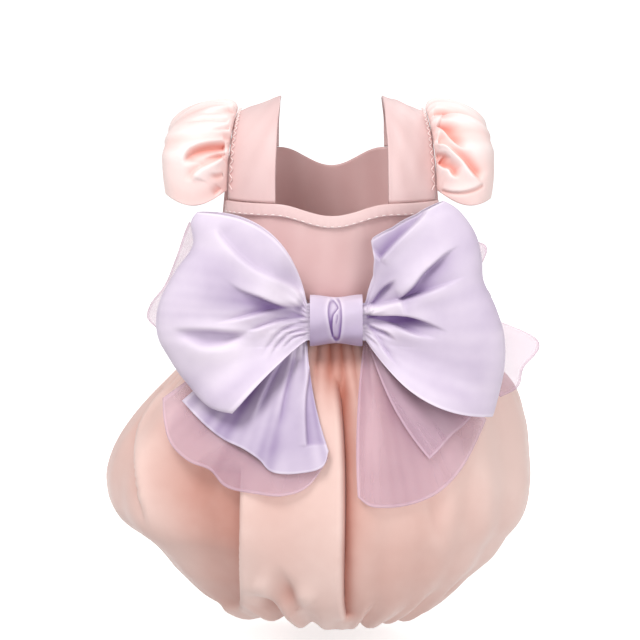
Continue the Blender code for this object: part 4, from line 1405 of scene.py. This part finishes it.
def make_bow_loop(sheet):
    """A loop: one wide strip that leaves the knot, folds back at its far end and returns."""
    bow = bow_sizes()

    def place(s, t):
        # Two thirds of the rows make the front of the loop; the first and the last row are
        # held in the knot
        share = np.interp(t, (0.0, LOOP_FRONT_ROWS, 1.0), (0.0, 0.5, 1.0))
        front = share <= 0.5
        row = LOOP_ROWS * share
        last = LOOP_ROWS - 1
        root_layer = sheet.root_layer + np.where(front, 0, 1)
        turn = math.pi * (np.clip(row, 1, last) - 1) / (last - 1)
        out = np.sin(turn)
        edge = 0.55 + 0.45 * np.sin(math.pi * lerp(0.08, 0.92, s))
        relief = bow.loop_puff * edge * (1 + np.sin(2 * turn))
        facing = np.where(turn < math.pi / 2, smooth((1 - turn / (math.pi / 2)) / 0.10), 0.0)
        view = seen(lying_point(sheet, s, out, root_layer, relief, 0.0))
        crease = creased(sheet.creases, *view) * facing
        # The front never sinks as far as the loop's other side behind it
        apart = smooth(out / 0.4)
        room = lerp(ROOT_LAYER, 2 * bow.loop_puff * edge * np.sin(2 * turn), apart)
        room = np.maximum(room - LOOP_CLOTH_ROOM, LOOP_LEAST_ROOM)
        sunk = np.where(crease < 0, -room * np.tanh(-crease / room), crease)
        # Fine gathers leave the knot and merge within a third of the loop's length
        uneven = ripples(LOOP_UNEVEN, s, out, sheet.side)
        gathers = np.sin(2 * math.pi * LOOP_GATHERS * s + 2.2 * uneven)
        gathers = gathers * (1 - smooth(out / 0.30))
        flow = ripples(LOOP_FLOWS, s, out, sheet.side)
        calm = smooth(out / 0.25) * (1 - 0.8 * smooth((out - 0.45) / 0.4))
        soft = LOOP_FLOW * flow * calm * np.where(front, smooth((1 - out) / 0.08), 0.3)
        small = BOW_GATHER * gathers * smooth(out / 0.02 + 0.3) + soft
        points = lying_point(sheet, s, out, root_layer, relief, sunk + small)
        beyond = np.maximum(np.maximum(1 - row, row - last), 0.0)
        points = held(sheet, s, root_layer, -beyond, points)
        hem = np.maximum(smooth((0.018 - s) / 0.01), smooth((s - 0.982) / 0.01))
        streak = ripples(LOOP_STREAKS, s, out, sheet.side)
        # Painted shade deepens the colour in sunken creases and in the hollows of gathers and
        # flows, and painted highlight pales their ridges; the patches add both
        fold = LOOP_SHADE - crease / LOOP_DEEP_CREASE - 0.05 * gathers - 0.03 * flow
        fold = fold - 0.16 * hem + 0.015 * streak + painted_light_patches(sheet.tints, *view)
        return points, np.where(front, fold, LOOP_BACK_SHADE)

    return bow_cloth(sheet, LOOP_GRID, place)


def make_bow_sheet(sheet):
    """A tail, or a loop's sheer back layer: a single sheet that fans out of the knot."""

    def place(s, t):
        # The first row is held in the knot
        row = TAIL_ROWS * t
        out = np.clip((row - 1) / (TAIL_ROWS - 1), 0.0, 1.0)
        view = seen(lying_point(sheet, s, out, sheet.root_layer, 0.0, 0.0))
        crease = creased(sheet.creases, *view) * smooth((1 - out) / 0.05)
        uneven = ripples(TAIL_UNEVEN, s, out, sheet.layer + sheet.side)
        gathers = np.sin(2 * math.pi * TAIL_GATHERS * s + 2.0 * uneven)
        gathers = gathers * (1 - smooth(out / 0.5))
        flow = ripples(TAIL_FLOWS, s, out, sheet.layer)
        small = BOW_GATHER * gathers + TAIL_FLOW * flow * smooth(out / 0.3)
        points = lying_point(sheet, s, out, sheet.root_layer, 0.0, crease + small)
        points = held(sheet, s, sheet.root_layer, -np.maximum(1 - row, 0.0), points)
        # The far edge and both sides have a narrow turned hem, which shows only in its colour
        # and cover
        edge = np.minimum(np.minimum(s, 1 - s) * 0.08, (1 - out) * sheet.reach)
        hem = smooth((HEM_WIDTH - edge) / (0.4 * HEM_WIDTH)) * smooth(out / 0.3)
        streak = ripples(TAIL_STREAKS, s, out, sheet.layer)
        # Painted shade deepens the colour in sunken creases and in the hollows of gathers and
        # flows, and painted highlight pales their ridges; the patches add both
        fold = TAIL_SHADE - crease / TAIL_DEEP_CREASE - 0.05 * gathers - 0.08 * flow
        fold = fold - 0.18 * hem + 0.06 * streak + painted_light_patches(sheet.tints, *view)
        return points, fold, hem

    return bow_cloth(sheet, TAIL_GRID, place)


def make_bow_knot():
    """The band wrapped round the middle of the bow, with the tuck down its front."""
    bow = bow_sizes()
    centre = knot_centre()

    def place(s, t):
        turn = 2 * math.pi * s
        along = lerp(-0.5, 0.5, t)
        waist = 1 - bow.knot_flare * np.cos(2 * math.pi * along)
        y = np.cos(turn) * bow.knot_depth / 2 * waist
        z = np.sin(turn) * bow.knot_height / 2 * waist
        base = points_of(centre.x + along * bow.knot_width, centre.y + y, centre.z + z)
        front = np.maximum(0.0, -np.cos(turn))
        crease = creased(KNOT_CREASES, *seen(base)) * smooth(front / 0.3)
        outward = points_of(0.0, np.cos(turn), np.sin(turn))
        soft = KNOT_WRINKLE * ripples(KNOT_WRINKLES, along, s)
        points = base + outward * (crease + soft)[:, None]
        # Painted shade deepens the knot's underside and its tucks, and painted highlight pales
        # its top
        fold = KNOT_SHADE - crease / KNOT_DEEP_CREASE - KNOT_UNDERSIDE_SHADE * np.sin(turn)
        return points, fold

    return cloth("bow_knot_cloth", KNOT_GRID, place, KNOT_FLAT, KNOT_CLOTH, closes=True)


class DRESS_OT_bow_knot(bpy.types.Operator):
    """Make the bow's knot."""

    bl_idname = "dress.bow_knot"
    bl_label = "Bow knot"

    def execute(self, context):
        knot = make_bow_knot()
        dress_piece(knot, lilac_organza(), ["bow_knot"])
        return {"FINISHED"}


class DRESS_OT_bow_loops(bpy.types.Operator):
    """Make the bow's two loops."""

    bl_idname = "dress.bow_loops"
    bl_label = "Bow loops"

    def execute(self, context):
        for sheet in bow_loops():
            loop = make_bow_loop(sheet)
            dress_piece(loop, lilac_organza(), [sheet.node])
        return {"FINISHED"}


class DRESS_OT_bow_tails(bpy.types.Operator):
    """Make the bow's tails and its sheer back layers."""

    bl_idname = "dress.bow_tails"
    bl_label = "Bow tails and back layers"

    def execute(self, context):
        for sheet in bow_tails():
            tail = make_bow_sheet(sheet)
            sheer = sheet.node != "bow_tail_left"
            finish = sheer_organza() if sheer else lilac_organza()
            dress_piece(tail, finish, [sheet.node])
        return {"FINISHED"}


def bow_loops():
    """The two loops, each with the rays, creases and tints of its own side."""
    reach, height = bow_sizes().loop_reach, LOOP_ROOT_HEIGHT
    return (
        Sheet("bow_loop_left", -1, 3, -2, 0.0, reach, height,
              LOOP_LEFT_RAYS, LOOP_LEFT_CREASES, LOOP_LEFT_TINTS, LOOP_FLAT),
        Sheet("bow_loop_right", 1, 3, -2, 0.0, reach, height,
              LOOP_RIGHT_RAYS, LOOP_RIGHT_CREASES, LOOP_RIGHT_TINTS, LOOP_FLAT,
              LOOP_RIGHT_PUSHES),
    )


def bow_tails():
    """The tails and the sheer layers; a greater layer number lies nearer to the front."""
    bow = bow_sizes()
    tail, height = bow.tail_reach, bow.root_height
    return (
        Sheet("bow_tail_left", -1, 2, 0, TAIL_TILT, tail, height,
              TAIL_LEFT_RAYS, TAIL_LEFT_CREASES, TAIL_LEFT_TINTS, TAIL_LEFT_FLAT),
        Sheet("bow_tail_left_under", -1, 1, 1, TAIL_TILT, tail, height,
              TAIL_LEFT_UNDER_RAYS, (), TAIL_LEFT_UNDER_TINTS, TAIL_LEFT_UNDER_FLAT),
        Sheet("bow_tail_right", 1, 1, 1, TAIL_TILT, tail, height,
              TAIL_RIGHT_RAYS, (), TAIL_RIGHT_TINTS, TAIL_RIGHT_FLAT),
        Sheet("bow_loop_right_under", 1, 2, 0, TAIL_TILT, bow.loop_reach, height,
              LOOP_RIGHT_UNDER_RAYS, (), LOOP_RIGHT_UNDER_TINTS, LOOP_RIGHT_UNDER_FLAT),
        Sheet("bow_back_left", -1, 0, 2, 0.0, bow.back_reach, height,
              BACK_LEFT_RAYS, (), (), BACK_LEFT_FLAT),
        Sheet("bow_back_right", 1, 0, 2, 0.0, bow.back_reach, height,
              BACK_RIGHT_RAYS, (), (), BACK_RIGHT_FLAT),
    )


def stitch_row(name, ends, radius, finish):
    """Stitches as small rounded bars, each between two points of a list of pairs."""
    bm = bmesh.new()
    for start, stop in ends:
        start, stop = Vector(start), Vector(stop)
        way = stop - start
        matrix = Matrix.LocRotScale(
            (start + stop) / 2,
            way.to_track_quat("Z", "Y"),
            (radius, radius, way.length / 2),
        )
        bmesh.ops.create_uvsphere(bm, u_segments=6, v_segments=5, radius=1.0, matrix=matrix)
    obj = new_object(name, bm)
    obj.data.shade_smooth()
    obj.data.materials.append(finish)
    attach(obj, "root")
    return obj


class DRESS_OT_stitches(bpy.types.Operator):
    """Make the topstitches along the neckline and the overlocked strap seams."""

    bl_idname = "dress.stitches"
    bl_label = "Stitches"

    def execute(self, context):
        thread = thread_finish("sewing_thread", colours().thread)
        shares = np.linspace(*STITCHED_SHARES, TOPSTITCHES)
        half = TOPSTITCH_SHARE * (shares[1] - shares[0])
        ends = []
        for share in shares:
            pair = []
            for at in (share - half, share + half):
                angle, z = band_line(np.array([at]), TOPSTITCH_DOWN)
                pair.append(body_point(angle, z, SEAM_GAP + TOPSTITCH_STAND_OFF)[0])
            ends.append(pair)
        stitch_row("neckline_topstitches", ends, TOPSTITCH_RADIUS, thread)
        shares = np.linspace(*STITCHED_SHARES, OVERLOCK_STITCHES + 1)
        for word, side in (("left", -1), ("right", 1)):
            # Each stitch crosses from one edge of the seam to the other, like a zigzag
            edges = [strap_point(side, at, shares, OVERLOCK_STAND_OFF) for at in OVERLOCK_EDGES]
            ends = []
            for i in range(OVERLOCK_STITCHES):
                ends.append((edges[i % 2][i], edges[(i + 1) % 2][i + 1]))
            stitch_row(f"strap_{word}_overlock", ends, OVERLOCK_RADIUS, thread)
        return {"FINISHED"}


class DRESS_OT_stage(bpy.types.Operator):
    """Make the floor, the soft lights and the camera."""

    bl_idname = "dress.stage"
    bl_label = "Stage"

    def execute(self, context):
        scene = context.scene
        make_floor()
        for row in LIGHTS:
            lamp = bpy.data.lights.new(row.name, "AREA")
            lamp.energy = row.watts
            lamp.shape = "DISK"
            lamp.size = row.size
            holder = bpy.data.objects.new(row.name, lamp)
            holder.location = row.place
            aim = Vector(VIEW_TARGET) - Vector(row.place)
            holder.rotation_euler = aim.to_track_quat("-Z", "Y").to_euler()
            scene.collection.objects.link(holder)
        world = bpy.data.worlds.new("studio")
        world.use_nodes = True
        background = world.node_tree.nodes["Background"]
        background.inputs["Color"].default_value = WHITE
        background.inputs["Strength"].default_value = WORLD_STRENGTH
        scene.world = world
        scene.view_settings.view_transform = "Standard"
        lens = bpy.data.cameras.new("camera")
        lens.sensor_width = SENSOR_WIDTH
        lens.lens = SENSOR_WIDTH * CAMERA_DISTANCE / VIEW_WIDTH
        camera = bpy.data.objects.new("camera", lens)
        camera.location = camera_place()
        camera.rotation_euler = (math.pi / 2 - CAMERA_HEIGHT_ANGLE, 0.0, 0.0)
        scene.collection.objects.link(camera)
        scene.camera = camera
        return {"FINISHED"}


def make_floor():
    """A wide pale floor just below the hem, so matt and bright that it has no horizon."""
    bm = bmesh.new()
    bmesh.ops.create_grid(bm, x_segments=1, y_segments=1, size=FLOOR_HALF_SIZE)
    bmesh.ops.translate(bm, verts=bm.verts, vec=(0.0, 0.0, FLOOR_HEIGHT))
    floor = new_object("floor", bm)
    paper, _, shader = plain_material("white_paper", PAPER, 0.9)
    shader.inputs["Base Color"].default_value = PAPER
    shader.inputs["Emission Color"].default_value = WHITE
    shader.inputs["Emission Strength"].default_value = FLOOR_GLOW
    floor.data.materials.append(paper)
    # The glow makes the background white, and isn't meant to light the dress from below
    floor.visible_diffuse = False


class DRESS_PT_panel(bpy.types.Panel):
    """The dress's operators and sizes in the 3D view's sidebar."""

    bl_idname = "DRESS_PT_panel"
    bl_label = "Dog Dress"
    bl_space_type = "VIEW_3D"
    bl_region_type = "UI"
    bl_category = "Dog Dress"

    def draw(self, context):
        for maker in MAKERS:
            self.layout.operator(maker.bl_idname)
        scene = context.scene
        for group in (scene.dress_sizes, scene.bow_sizes, scene.dress_colours):
            box = self.layout.box()
            for name in group.__annotations__:
                box.prop(group, name)


MAKERS = (
    DRESS_OT_bodice,
    DRESS_OT_straps,
    DRESS_OT_sleeves,
    DRESS_OT_skirt,
    DRESS_OT_bow_knot,
    DRESS_OT_bow_loops,
    DRESS_OT_bow_tails,
    DRESS_OT_stitches,
    DRESS_OT_stage,
)
GROUPS = (DressSizes, BowSizes, DressColours)


def register():
    """Adds the sizes, the operators and the panel to Blender."""
    for made in (*GROUPS, *MAKERS, DRESS_PT_panel):
        bpy.utils.register_class(made)
    bpy.types.Scene.dress_sizes = PointerProperty(type=DressSizes)
    bpy.types.Scene.bow_sizes = PointerProperty(type=BowSizes)
    bpy.types.Scene.dress_colours = PointerProperty(type=DressColours)


def unregister():
    """Takes them out again."""
    for name in ("dress_sizes", "bow_sizes", "dress_colours"):
        delattr(bpy.types.Scene, name)
    for made in reversed((*GROUPS, *MAKERS, DRESS_PT_panel)):
        bpy.utils.unregister_class(made)


def main():
    """Makes the dress and its stage."""
    register()
    bpy.ops.dress.bodice()
    bpy.ops.dress.straps()
    bpy.ops.dress.sleeves()
    bpy.ops.dress.skirt()
    bpy.ops.dress.bow_knot()
    bpy.ops.dress.bow_loops()
    bpy.ops.dress.bow_tails()
    bpy.ops.dress.stitches()
    bpy.ops.dress.stage()
    bpy.context.view_layer.update()


if __name__ == "__main__":
    main()
